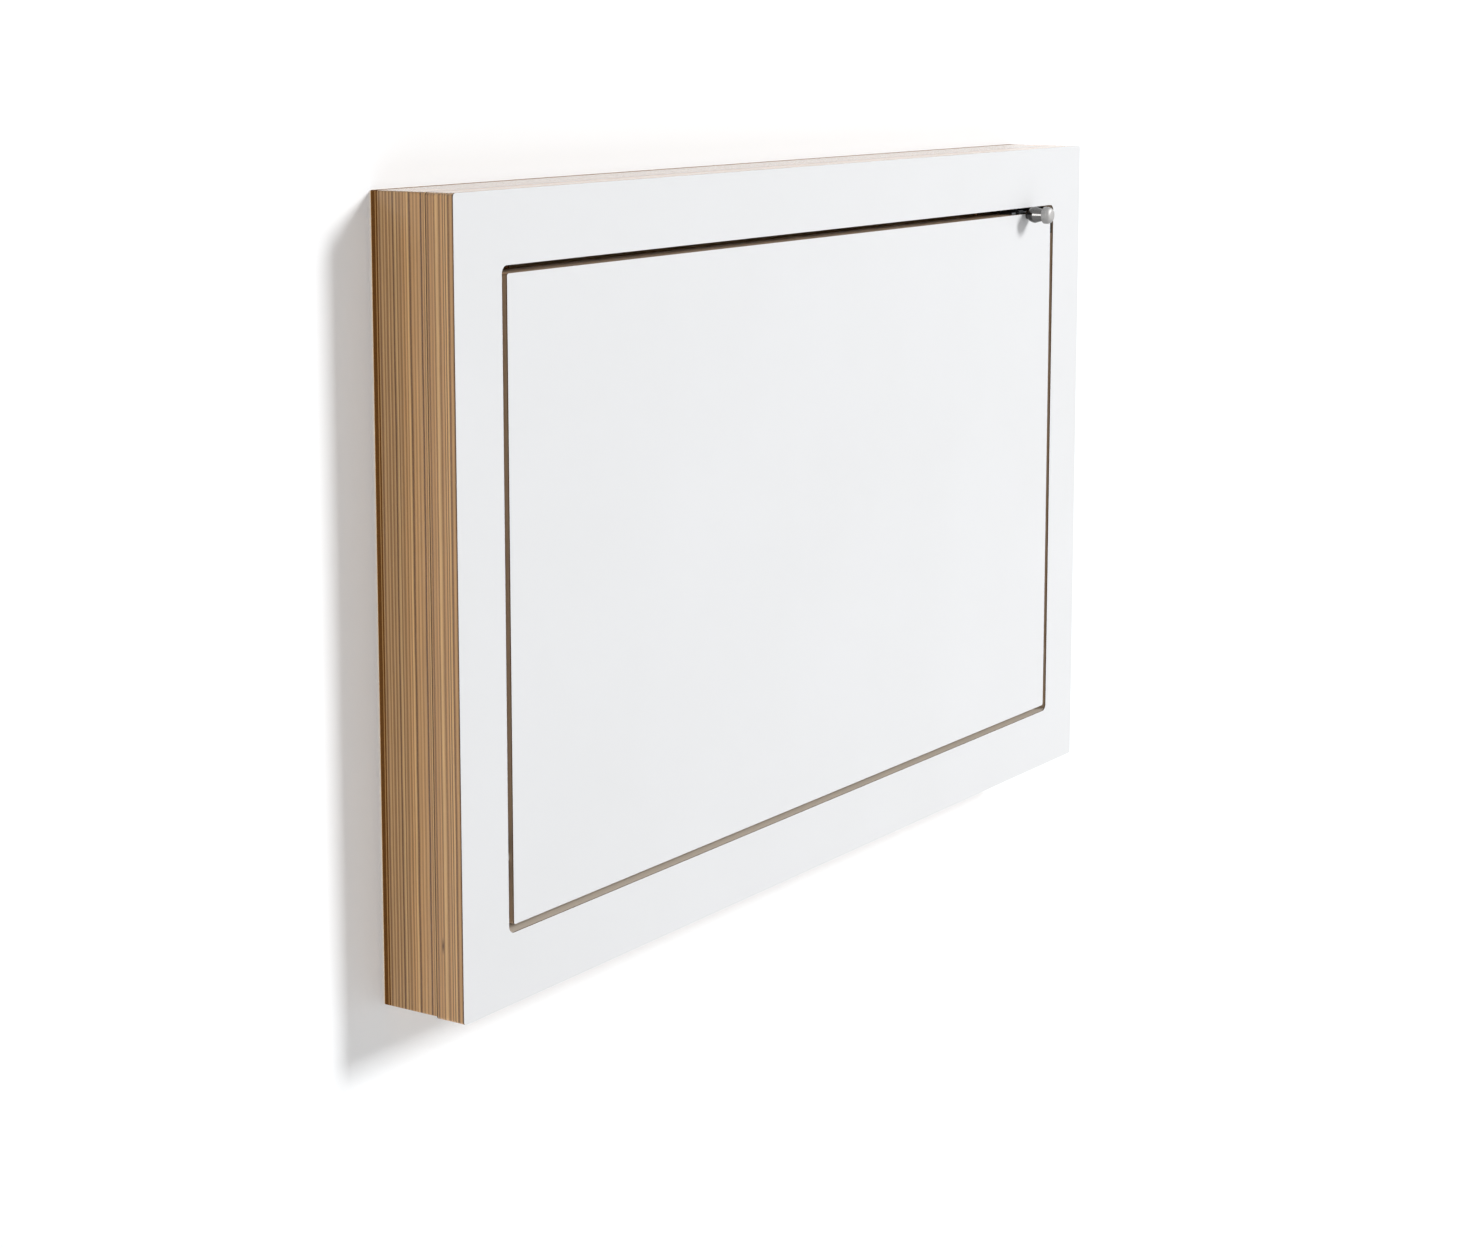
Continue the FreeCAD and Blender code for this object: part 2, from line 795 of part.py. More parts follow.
bolt_bar = block(
    "bolt_bar",
    place("bolt_x"),
    place("bolt_back"),
    place("bolt_floor"),
    place("bolt_length"),
    place("bolt_width"),
    size("bolt_thickness"),
)
stem = rod(
    "knob_stem",
    TO_ROOM,
    place("knob_x"),
    place("bolt_front"),
    place("bolt_middle"),
    size("stem_radius"),
    f"{place('knob_back')} + {size('stem_hold')} - {place('bolt_front')}",
)
keep("latch_bolt", bolt_bar)
keep("knob_stem", stem)

knob_end_radius = f"{size('knob_radius')} - {size('barrel_chamfer')}"
knob_steps = (
    ("neck", size("neck_radius"), size("neck_radius"), size("neck_length")),
    ("flare", size("neck_radius"), size("knob_radius"), size("flare_length")),
    ("barrel", size("knob_radius"), size("knob_radius"), size("barrel_length")),
    ("edge", size("knob_radius"), knob_end_radius, size("barrel_chamfer")),
)
knob_solids = []
step_off = place("knob_back")
for name, radius, end_radius, length in knob_steps:
    spot = (TO_ROOM, place("knob_x"), step_off, place("bolt_middle"))
    if radius == end_radius:
        knob_solids.append(rod(f"knob_{name}", *spot, radius, length))
    else:
        knob_solids.append(taper(f"knob_{name}", *spot, radius, end_radius, length))
    step_off = f"{step_off} + {length}"
keep("latch_knob", cut("knob_cut", join("knob_solid", *knob_solids), stem))

# Flap boards, cut for the guide, the knob's stem and the bushes
guide_mortise = block(
    "guide_mortise",
    place("guide_x"),
    place("guide_back"),
    place("guide_floor"),
    f"{place('flap_x')} - {place('guide_x')}",
    size("guide_width"),
    size("guide_depth"),
)
stem_notch = block(
    "stem_notch",
    f"{place('knob_x')} - {place('stem_slot')}",
    f"{place('guide_back')} + {size('guide_width')}",
    f"{place('bolt_middle')} - {place('stem_slot')}",
    f"2 * {place('stem_slot')} + {size('bolt_travel')}",
    f"{place('board_front')} - {place('guide_back')} - {size('guide_width')}",
    f"{place('flap_z')} - {place('bolt_middle')} + {place('stem_slot')}",
)
flap_sheet = sheet_body("flap_sheet", place("core_back"), size("face_core"), flap_outline)
keep(
    "flap_core",
    cut("flap_cut", flap_sheet, guide_mortise, stem_notch, *bush_holes, *guide_blanks),
)
desktop_sheet = sheet_body("desktop_sheet", place("board_back"), size("laminate"), flap_outline)
keep("flap_desktop_laminate", desktop_sheet)
flap_face = sheet_body("flap_face", place("core_front"), size("laminate"), flap_outline)
keep("flap_face_laminate", cut("flap_face_cut", flap_face, stem_notch))

document.recompute()

faulty = [thing.Name for thing in document.Objects if {"Invalid", "Error"} & set(thing.State)]
faulty += [piece.Label for piece in pieces if piece.Shape.isNull() or not piece.Shape.isValid()]
if faulty:
    raise RuntimeError(f"these did not build: {faulty}")

os.makedirs("parts", exist_ok=True)
for piece in pieces:
    piece.Shape.exportStep(f"parts/{piece.Label}.step")
print(f"{len(pieces)} sub-parts written")
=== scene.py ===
"""Fold-down wall desk: its looks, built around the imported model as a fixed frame, in metres."""

import math
from collections import namedtuple

import bmesh
import bpy
from bpy.props import FloatProperty, FloatVectorProperty, PointerProperty
from mathutils import Matrix, Vector


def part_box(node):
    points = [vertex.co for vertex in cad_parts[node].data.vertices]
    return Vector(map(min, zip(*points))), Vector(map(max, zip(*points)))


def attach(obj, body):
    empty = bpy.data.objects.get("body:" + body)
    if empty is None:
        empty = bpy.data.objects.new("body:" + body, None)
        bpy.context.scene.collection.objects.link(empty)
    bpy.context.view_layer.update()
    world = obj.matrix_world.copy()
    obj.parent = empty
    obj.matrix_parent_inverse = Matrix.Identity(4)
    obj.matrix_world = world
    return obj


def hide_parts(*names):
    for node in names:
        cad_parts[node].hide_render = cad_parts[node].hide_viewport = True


bl_info = {
    "name": "Fold-down wall desk",
    "version": (1, 0, 0),
    "blender": (4, 5, 0),
    "location": "3D View > Sidebar > Wall Desk",
    "description": "Dresses a shallow plywood wall desk with a white laminated front",
    "category": "Object",
}

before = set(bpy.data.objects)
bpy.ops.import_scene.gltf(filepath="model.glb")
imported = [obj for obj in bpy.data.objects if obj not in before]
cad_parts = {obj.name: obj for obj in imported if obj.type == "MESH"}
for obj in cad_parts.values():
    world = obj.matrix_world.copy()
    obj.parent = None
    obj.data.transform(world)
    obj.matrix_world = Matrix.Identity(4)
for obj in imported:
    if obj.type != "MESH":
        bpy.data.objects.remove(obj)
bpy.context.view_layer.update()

MM = 0.001
AXES = ("X", "Y", "Z")
QUARTER_TURN = math.radians(90)
# Least part of a normal along an axis for a surface to count as facing that way
FACING = 0.7
# How near to a plane or ring a point counts as lying on it
NEAR = MM / 10


def linear(hex_colour):
    """An sRGB hex colour as linear red, green and blue."""
    channels = [int(hex_colour[i : i + 2], 16) / 255 for i in (0, 2, 4)]
    return tuple(c / 12.92 if c <= 0.04045 else ((c + 0.055) / 1.055) ** 2.4 for c in channels)


def colour(label, words, hex_colour):
    """A colour that a user can change."""
    return FloatVectorProperty(
        name=label,
        description=words,
        subtype="COLOR",
        size=3,
        min=0.0,
        max=1.0,
        default=linear(hex_colour),
    )


def length(label, words, millimetres):
    """A length that a user can change, stored in metres."""
    return FloatProperty(name=label, description=words, unit="LENGTH", min=0.0, default=millimetres * MM)


def number(label, words, setting, **kind):
    """A plain number that a user can change, or one of a given kind."""
    return FloatProperty(name=label, description=words, default=setting, **kind)


def direction(label, words, way, **kind):
    """A place or direction that a user can change."""
    return FloatVectorProperty(name=label, description=words, subtype="XYZ", size=3, default=way, **kind)


class DeskColours(bpy.types.PropertyGroup):
    """Colours of the desk's materials"""

    light_veneer: colour("Light veneer", "Palest veneers at the edges of the boards", "F0C284")
    middle_veneer: colour("Middle veneer", "Most veneers at the edges of the boards", "C7935B")
    dark_veneer: colour("Dark veneer", "Veneers cut across the grain, and their glue", "54310A")
    red_veneer: colour("Red veneer", "Heartwood veneers of the thin back panel", "72481B")
    face_veneer: colour("Face veneer", "Outer veneer of the boards", "E3C89D")
    face_figure: colour("Face figure", "Darker figure in the outer veneer", "CFAA78")
    # Edge sealer: a greyish sealer on the edges inside the opening, partly painted light, lighter than
    # the sealer alone to stand in for light reaching into the gaps
    gap_sealer_and_light: colour("Edge sealer", "Sealer on the edges inside the front's gaps", "BFAD98")
    # Flap sealer and sill sealer: painted light, paler colours on the upward-facing edges in the gaps for
    # the light that falls on them from above
    flap_top_light: colour("Flap sealer", "Sealer that pooled on the flap's upper edge", "E2C6A4")
    sill_top_light: colour("Sill sealer", "Sealer that pooled on the opening's lower edge", "FBF6EC")
    laminate: colour("Laminate", "White decor layer of the front", "DFE0E2")
    laminate_shade: colour("Laminate shade", "Slightly uneven white of the decor layer", "DBDCDD")
    laminate_edge: colour("Laminate edge", "Brown paper core at the laminate's edge", "7E6248")
    zinc: colour("Zinc", "Dark zinc plating on plates, bolt and screws", "4C4E50")
    zinc_dull: colour("Dull zinc", "Duller crystals in the plating", "3B3D3F")
    # Knob and knob end: partly painted reflection, a darker colour on the sides and a paler one on the
    # end for what the one metal reflects
    knob: colour("Knob", "Black nickel on the sides of the knob", "6A6968")
    knob_end_bright: colour("Knob end", "Satin nickel on the end of the knob", "A4A3A2")
    brass: colour("Brass", "Pivot bushes", "C8A45A")
    nylon: colour("Nylon", "Pivot washers", "E6E2D6")
    rubber: colour("Rubber", "Stop pad and bumpers", "242322")


class DeskSizes(bpy.types.PropertyGroup):
    """Sizes of the pieces that are modelled here"""

    board_easing: length("Board easing", "Rounding sanded on the inner boards' edges", 0.8)
    knob_neck: length("Knob neck", "Length of the knob's straight neck", 1.0)
    knob_neck_radius: length("Knob neck radius", "Radius of the knob's neck", 3.6)
    knob_widest: length("Knob widest", "From the back of the knob to the widest ring of its body", 7.0)
    knob_body_radius: length("Knob body radius", "Radius of the knob's body at its widest ring", 6.3)
    knob_waist_radius: length("Knob waist radius", "Radius of the knob behind its head", 4.0)
    knob_head: length("Knob head", "Length of the knob's rounded head", 6.4)
    knob_easing: length("Knob easing", "Rounding of the knob's head", 3.8)
    bumper_easing: length("Bumper easing", "Rounding of the bumpers' rims", 1.3)
    bumper_dish: length("Bumper dish", "Depth of the dish in a bumper's end", 0.4)
    bolt_easing: length("Bolt easing", "Rounding of the slide bolt's long edges", 0.5)
    bolt_nose: length("Bolt nose", "Bevel at the end of the slide bolt that enters the strike", 1.6)
    pad_easing: length("Pad easing", "Rounding of the stop pad's edges", 0.5)


class WoodGrain(bpy.types.PropertyGroup):
    """Sizes of the patterns in the plywood"""

    # Real fibres and pores are finer; these are as coarse as they need to be to show
    wander: length("Wander", "Length over which the veneers wander", 70)
    uneven: length("Uneven veneers", "Span over which veneers grow thicker or thinner", 5)
    fibre_width: length("Fibre width", "Fibres at the edges, across", 0.6)
    fibre_length: length("Fibre length", "Fibres at the edges, along", 60)
    pore: length("Pore", "Pores of the veneers cut across the grain", 1.1)
    figure_width: length("Figure width", "Figure of the face veneer, across", 7)
    figure_length: length("Figure length", "Figure of the face veneer, along", 160)
    dash_width: length("Dash width", "Short dark pores of the face veneer, across", 0.6)
    dash_length: length("Dash length", "Short dark pores of the face veneer, along", 7)
    relief: length("Relief", "Height of the grain left by sanding", 0.08)


class FinishPatterns(bpy.types.PropertyGroup):
    """Sizes of the patterns in laminate, metal and polymer"""

    # Real rolling marks, tool marks and grit are finer; these are as coarse as they need to be to show
    laminate_cloud: length("Laminate cloud", "Patches of slightly different white and gloss", 120)
    laminate_pebble: length("Laminate pebble", "Pebbles pressed into the laminate", 0.9)
    laminate_paper: length("Laminate paper", "Fibres in the laminate's paper core", 4)
    zinc_crystal: length("Zinc crystal", "Crystals of the plating", 2.2)
    zinc_cloud: length("Zinc cloud", "Duller patches of the plating", 6)
    rolled_length: length("Rolling mark length", "Marks of the rolled steel, along", 14)
    rolled_width: length("Rolling mark width", "Marks of the rolled steel, across", 0.25)
    brass_ring: length("Brass ring", "Spacing of the tool marks on the bushes", 0.6)
    nickel_ring: length("Nickel ring", "Spacing of the tool marks on the knob", 0.5)
    satin_ring: length("Satin ring", "Spacing of the tool marks on the knob's end", 0.4)
    metal_wear: length("Metal wear", "Patches of uneven polish on turned metal", 3)
    mottle: length("Mottle", "Mottled patches of nylon and rubber", 8)
    nylon_grit: length("Nylon grit", "Grit of the mould on the nylon", 0.6)
    rubber_grit: length("Rubber grit", "Grit of the mould on the rubber", 0.5)
    fine_relief: length("Fine relief", "Height of the marks on metal and laminate", 0.02)
    mould_relief: length("Mould relief", "Height of the mould's grit", 0.05)


class StageSettings(bpy.types.PropertyGroup):
    """Camera, lights and backdrop"""

    camera_place: direction(
        "Camera place", "Where the camera stands", (-1.7192, -1.1259, 0.3464), unit="LENGTH"
    )
    camera_turn: number(
        "Camera turn",
        "Direction the camera looks in, from +X towards +Y",
        math.radians(33.469),
        subtype="ANGLE",
    )
    camera_tilt: number(
        "Camera tilt", "How far the camera looks down", math.radians(8.277), subtype="ANGLE"
    )
    lens: number("Lens", "Focal length on a 36 mm sensor", 71.934, unit="CAMERA")
    lens_shift: number("Lens shift", "Vertical shift that keeps uprights near upright", -0.12)
    lamp_way: direction("Lamp direction", "From the desk to the softbox", (0.475, -0.8, 0.41))
    lamp_distance: length("Lamp distance", "From the desk to the softbox", 8000)
    lamp_width: length("Lamp width", "Width of the softbox", 1550)
    lamp_height: length("Lamp height", "Height of the softbox", 2050)
    lamp_power: number("Lamp power", "Power of the softbox", 535.0, unit="POWER")
    fill_way: direction("Fill direction", "From the desk to the fill light", (-0.985, -0.09, 0.15))
    fill_distance: length("Fill distance", "From the desk to the fill light", 4000)
    fill_width: length("Fill width", "Width of the fill light", 700)
    fill_height: length("Fill height", "Height of the fill light", 2000)
    fill_power: number("Fill power", "Power of the fill light", 31.0, unit="POWER")
    back_way: direction(
        "Back light direction", "From the desk to the light behind the wall", (0.0, 0.99, 0.08)
    )
    back_distance: length("Back light distance", "From the desk to the light behind the wall", 4000)
    back_width: length("Back light width", "Width of the light behind the wall", 1500)
    back_height: length("Back light height", "Height of the light behind the wall", 1000)
    back_power: number("Back light power", "Power of the light behind the wall", 60.0, unit="POWER")
    room_light: number("Room light", "Strength of the even light from all round", 0.2)
    wall_lift: number("Wall lift", "Light added to the wall where it is seen", 0.18)
    floor_lift: number("Floor lift", "Light added to the floor where it is seen", 0.4)
    wall_paint: colour("Wall paint", "Colour of the wall", "EAECEE")
    floor_paint: colour("Floor paint", "Colour of the floor", "FBFBFB")
    desktop_height: length("Desktop height", "Height of the open desktop over the floor", 740)
    wall_gap: length("Wall gap", "Room between the back panel and the wall", 0.5)
    reach: length("Backdrop reach", "From the middle of the wall or floor to its edges", 6000)


def fill(tree, node, inputs):
    """Sets a node's inputs, or links them to a socket or to the first output of a node."""
    for key, content in inputs.items():
        if isinstance(content, bpy.types.Node):
            content = content.outputs[0]
        if isinstance(content, bpy.types.NodeSocket):
            tree.links.new(content, node.inputs[key])
        else:
            node.inputs[key].default_value = content


def add_node(tree, kind, settings=None, inputs=None):
    """Adds a node, sets its properties, and fills or links its inputs."""
    node = tree.nodes.new(kind)
    for key, setting in (settings or {}).items():
        setattr(node, key, setting)
    fill(tree, node, inputs or {})
    return node


def new_material(name, settings):
    """A material with a Principled shader whose constant sockets are set directly."""
    material = bpy.data.materials.new(name)
    material.use_nodes = True
    tree = material.node_tree
    shader = tree.nodes["Principled BSDF"]
    fill(tree, shader, settings)
    return material, tree, shader


def opaque(rgb):
    """A colour with full alpha, as sockets want it."""
    return (*rgb, 1.0)


def span(side, limits):
    """Both limits of the From or the To side of a map range."""
    return {f"{side} Min": limits[0], f"{side} Max": limits[1]}


def stretched(axis, along, across):
    """Scales that make a pattern one size along an axis and another across it."""
    return [1 / (along if letter == axis else across) for letter in AXES]


# Where along the swing from one veneer to the next the dark and pale stripes begin and are full, the
# weakest and the strongest stripe, and how far veneers wander and how unequal they are, in veneers
Stripes = namedtuple("Stripes", "dark pale dark_strength pale_strength wander uneven")
BOARD = Stripes((0.42, 0.86), (0.62, 0.12), (0.1, 1.0), (0.1, 1.0), 0.5, 2.2)
FRONT_BOARD = BOARD._replace(dark_strength=(0.0, 0.8))
THIN_PANEL = Stripes((0.02, 0.3), (0.2, 0.0), (1.0, 1.0), (0.3, 0.6), 0.12, 0.0)
# The boards are lacquered, and the thin back panel is left raw
LACQUERED = {
    "Specular IOR Level": 0.3,
    "Coat Weight": 0.95,
    "Coat Roughness": 0.14,
    "Sheen Weight": 0.1,
    "Sheen Roughness": 0.35,
}
RAW = {"Specular IOR Level": 0.1}
# How much of the wood the sealer and the painted light on the opening's edges hide
SEALER_AND_LIGHT_COVER = 0.9
# Usual range of the noise in fibres and pores, and how dark and light they are there
FIBRE_NOISE = (0.25, 0.75)
FIBRE_SHADE = (0.78, 1.12)
# Noise at which the face veneer's figure and short pores begin and are full, and the pores' strength
FIGURE_NOISE = (0.38, 0.72)
DASH_NOISE = (0.58, 0.75)
DASH_STRENGTH = (0.0, 0.35)
# Roughness of sanded wood, and the strength of its relief
WOOD_ROUGHNESS = (0.42, 0.62)
WOOD_RELIEF = 0.5


def birch_plywood(
    name,
    node,
    axis,
    grain,
    veneers,
    seed,
    stripes=BOARD,
    finish=LACQUERED,
    dark=None,
    phase=0.0,
    tone=1.0,
    knot=None,
    sealer_with_light=None,
):
    """Birch plywood, sawn and sanded.

    On its edges the eye sees stripes: pale veneers cut along the grain between darker ones cut across it,
    each with a tone and a thickness of its own. On its faces it sees a pale veneer with a soft long
    figure and short fine pores. Where it is lacquered it shines at a low angle.
    """
    colours = bpy.context.scene.desk_colours
    grains = bpy.context.scene.desk_grain
    low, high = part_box(node)
    start = low[AXES.index(axis)]
    per_metre = veneers / (high[AXES.index(axis)] - start)
    material, tree, shader = new_material(name, finish)
    coords = add_node(tree, "ShaderNodeTexCoord")
    position = coords.outputs["Object"]
    place = add_node(tree, "ShaderNodeSeparateXYZ", None, {"Vector": position})
    normal = add_node(tree, "ShaderNodeSeparateXYZ", None, {"Vector": coords.outputs["Normal"]})

    # The veneers wander along the board and differ in thickness
    wander = add_node(
        tree, "ShaderNodeTexNoise", None, {"Vector": position, "Scale": 1 / grains.wander, "Detail": 2.0}
    )
    depth = add_node(
        tree,
        "ShaderNodeMath",
        {"operation": "MULTIPLY_ADD"},
        {0: place.outputs[axis], 1: 1 / grains.uneven, 2: seed},
    )
    uneven = add_node(
        tree, "ShaderNodeTexNoise", {"noise_dimensions": "1D"}, {"W": depth, "Scale": 1.0, "Detail": 1.0}
    )
    layer = add_node(
        tree,
        "ShaderNodeMath",
        {"operation": "MULTIPLY_ADD"},
        {
            0: place.outputs[axis],
            1: per_metre,
            2: phase - start * per_metre - (stripes.wander + stripes.uneven) / 2,
        },
    )
    wandered = add_node(
        tree, "ShaderNodeMath", {"operation": "MULTIPLY_ADD"}, {0: wander, 1: stripes.wander, 2: layer}
    )
    unequal = add_node(
        tree, "ShaderNodeMath", {"operation": "MULTIPLY_ADD"}, {0: uneven, 1: stripes.uneven, 2: wandered}
    )
    # A veneer that runs across on one edge runs along on the next, so stripes change places there
    along_grain = add_node(tree, "ShaderNodeMath", {"operation": "ABSOLUTE"}, {0: normal.outputs[grain]})
    end_faces = add_node(
        tree, "ShaderNodeMath", {"operation": "GREATER_THAN"}, {0: along_grain, 1: FACING}
    )
    veneer = add_node(tree, "ShaderNodeMath", {"operation": "ADD"}, {0: unequal, 1: end_faces})
    swing = add_node(tree, "ShaderNodeMath", {"operation": "PINGPONG"}, {0: veneer, 1: 1.0})
    # Each pair of veneers has strengths of its own, by chance
    pair = add_node(tree, "ShaderNodeMath", {"operation": "MULTIPLY_ADD"}, {0: veneer, 1: 0.5, 2: seed})
    amounts = []
    for operation, channel, turns, strengths in (
        ("FLOOR", "Red", stripes.dark, stripes.dark_strength),
        ("ROUND", "Blue", stripes.pale, stripes.pale_strength),
    ):
        count = add_node(tree, "ShaderNodeMath", {"operation": operation}, {0: pair})
        chance = add_node(tree, "ShaderNodeTexWhiteNoise", {"noise_dimensions": "1D"}, {"W": count})
        chances = add_node(tree, "ShaderNodeSeparateColor", None, {"Color": chance.outputs["Color"]})
        strength = add_node(
            tree, "ShaderNodeMapRange", None, {"Value": chances.outputs[channel], **span("To", strengths)}
        )
        line = add_node(
            tree,
            "ShaderNodeMapRange",
            {"interpolation_type": "SMOOTHSTEP"},
            {"Value": swing, **span("From", turns)},
        )
        amount = add_node(tree, "ShaderNodeMath", {"operation": "MULTIPLY"}, {0: line, 1: strength})
        amounts.append(amount)
    dark_amount, pale_amount = amounts

    # Fibres run beside the board's faces, and pores show where a veneer is cut across
    fibre_place = add_node(
        tree,
        "ShaderNodeMapping",
        None,
        {"Vector": position, "Scale": stretched(axis, grains.fibre_width, grains.fibre_length)},
    )
    fibres = add_node(
        tree,
        "ShaderNodeTexNoise",
        None,
        {"Vector": fibre_place, "Scale": 1.0, "Detail": 3.0, "Roughness": 0.6},
    )
    pores = add_node(
        tree, "ShaderNodeTexNoise", None, {"Vector": position, "Scale": 1 / grains.pore, "Detail": 2.0}
    )
    texture = add_node(
        tree, "ShaderNodeMix", {"data_type": "FLOAT"}, {"Factor": dark_amount, "A": fibres, "B": pores}
    )
    shade = add_node(
        tree,
        "ShaderNodeMapRange",
        None,
        {
            "Value": texture,
            **span("From", FIBRE_NOISE),
            **span("To", [shade * tone for shade in FIBRE_SHADE]),
        },
    )
    darkened = add_node(
        tree,
        "ShaderNodeMix",
        {"data_type": "RGBA"},
        {
            "Factor": dark_amount,
            "A": opaque(colours.middle_veneer),
            "B": opaque(dark or colours.dark_veneer),
        },
    )
    striped = add_node(
        tree,
        "ShaderNodeMix",
        {"data_type": "RGBA"},
        {"Factor": pale_amount, "A": darkened.outputs[2], "B": opaque(colours.light_veneer)},
    )
    edge = add_node(
        tree,
        "ShaderNodeMix",
        {"data_type": "RGBA", "blend_type": "MULTIPLY"},
        {"Factor": 1.0, "A": striped.outputs[2], "B": shade},
    )
    if knot:
        knot_place, knot_size = knot
        around = add_node(
            tree,
            "ShaderNodeMapping",
            {"vector_type": "TEXTURE"},
            {"Vector": position, "Location": knot_place, "Scale": knot_size},
        )
        spot = add_node(tree, "ShaderNodeTexGradient", {"gradient_type": "SPHERICAL"}, {"Vector": around})
        edge = add_node(
            tree,
            "ShaderNodeMix",
            {"data_type": "RGBA"},
            {"Factor": spot.outputs["Fac"], "A": edge.outputs[2], "B": opaque(colours.dark_veneer)},
        )

    if sealer_with_light:
        # Edges inside the opening carry a thin greyish sealer whose colour is lightened as painted light,
        # for the light that reaches into the gaps; where an edge lies flat and faces up it takes a paler
        # painted light instead, for the light that falls on it from above
        half_width, half_height, painted_top_light = sealer_with_light
        inside = []
        for letter, half in (("X", half_width), ("Z", half_height)):
            off_middle = add_node(
                tree, "ShaderNodeMath", {"operation": "ABSOLUTE"}, {0: place.outputs[letter]}
            )
            within = add_node(
                tree, "ShaderNodeMath", {"operation": "LESS_THAN"}, {0: off_middle, 1: half}
            )
            inside.append(within)
        in_opening = add_node(tree, "ShaderNodeMath", {"operation": "MULTIPLY"}, {0: inside[0], 1: inside[1]})
        cover = add_node(tree, "ShaderNodeMath", {"operation": "MULTIPLY"}, {0: in_opening, 1: SEALER_AND_LIGHT_COVER})
        # Painted light: upward-facing edges in the opening get the paler top colour
        lies_flat = add_node(
            tree, "ShaderNodeMath", {"operation": "GREATER_THAN"}, {0: normal.outputs["Z"], 1: FACING}
        )
        sealer = add_node(
            tree,
            "ShaderNodeMix",
            {"data_type": "RGBA"},
            {"Factor": lies_flat, "A": opaque(colours.gap_sealer_and_light), "B": opaque(painted_top_light)},
        )
        edge = add_node(
            tree,
            "ShaderNodeMix",
            {"data_type": "RGBA"},
            {"Factor": cover, "A": edge.outputs[2], "B": sealer.outputs[2]},
        )

    # Face veneer: a long soft figure, with short fine pores
    figure_place = add_node(
        tree,
        "ShaderNodeMapping",
        None,
        {
            "Vector": position,
            "Scale": stretched(grain, grains.figure_length, grains.figure_width),
            "Location": (seed, seed, seed),
        },
    )
    figure = add_node(
        tree,
        "ShaderNodeTexNoise",
        None,
        {"Vector": figure_place, "Scale": 1.0, "Detail": 5.0, "Roughness": 0.62, "Distortion": 0.5},
    )
    dash_place = add_node(
        tree,
        "ShaderNodeMapping",
        None,
        {"Vector": position, "Scale": stretched(grain, grains.dash_length, grains.dash_width)},
    )
    dashes = add_node(
        tree, "ShaderNodeTexNoise", None, {"Vector": dash_place, "Scale": 1.0, "Detail": 1.0}
    )
    figure_amount = add_node(
        tree, "ShaderNodeMapRange", None, {"Value": figure, **span("From", FIGURE_NOISE)}
    )
    dash_amount = add_node(
        tree,
        "ShaderNodeMapRange",
        None,
        {"Value": dashes, **span("From", DASH_NOISE), **span("To", DASH_STRENGTH)},
    )
    darker = add_node(
        tree, "ShaderNodeMath", {"operation": "MAXIMUM"}, {0: figure_amount, 1: dash_amount}
    )
    face = add_node(
        tree,
        "ShaderNodeMix",
        {"data_type": "RGBA"},
        {"Factor": darker, "A": opaque(colours.face_veneer), "B": opaque(colours.face_figure)},
    )
    flat = add_node(tree, "ShaderNodeMath", {"operation": "ABSOLUTE"}, {0: normal.outputs[axis]})
    on_face = add_node(tree, "ShaderNodeMath", {"operation": "GREATER_THAN"}, {0: flat, 1: FACING})
    wood = add_node(
        tree,
        "ShaderNodeMix",
        {"data_type": "RGBA"},
        {"Factor": on_face, "A": edge.outputs[2], "B": face.outputs[2]},
    )
    surface = add_node(
        tree, "ShaderNodeMix", {"data_type": "FLOAT"}, {"Factor": on_face, "A": texture, "B": dashes}
    )
    gloss = add_node(tree, "ShaderNodeMapRange", None, {"Value": surface, **span("To", WOOD_ROUGHNESS)})
    relief = add_node(
        tree,
        "ShaderNodeBump",
        None,
        {"Strength": WOOD_RELIEF, "Distance": grains.relief, "Height": surface},
    )
    fill(tree, shader, {"Base Color": wood.outputs[2], "Roughness": gloss, "Normal": relief})
    return material


# Roughness of the pressed laminate and of its cut edges, and the strength of its relief
LAMINATE_ROUGHNESS = (0.34, 0.46)
CUT_ROUGHNESS = 1.0
LAMINATE_RELIEF = 0.25
# How much the fibres darken the paper core
PAPER_SHADE = 0.5


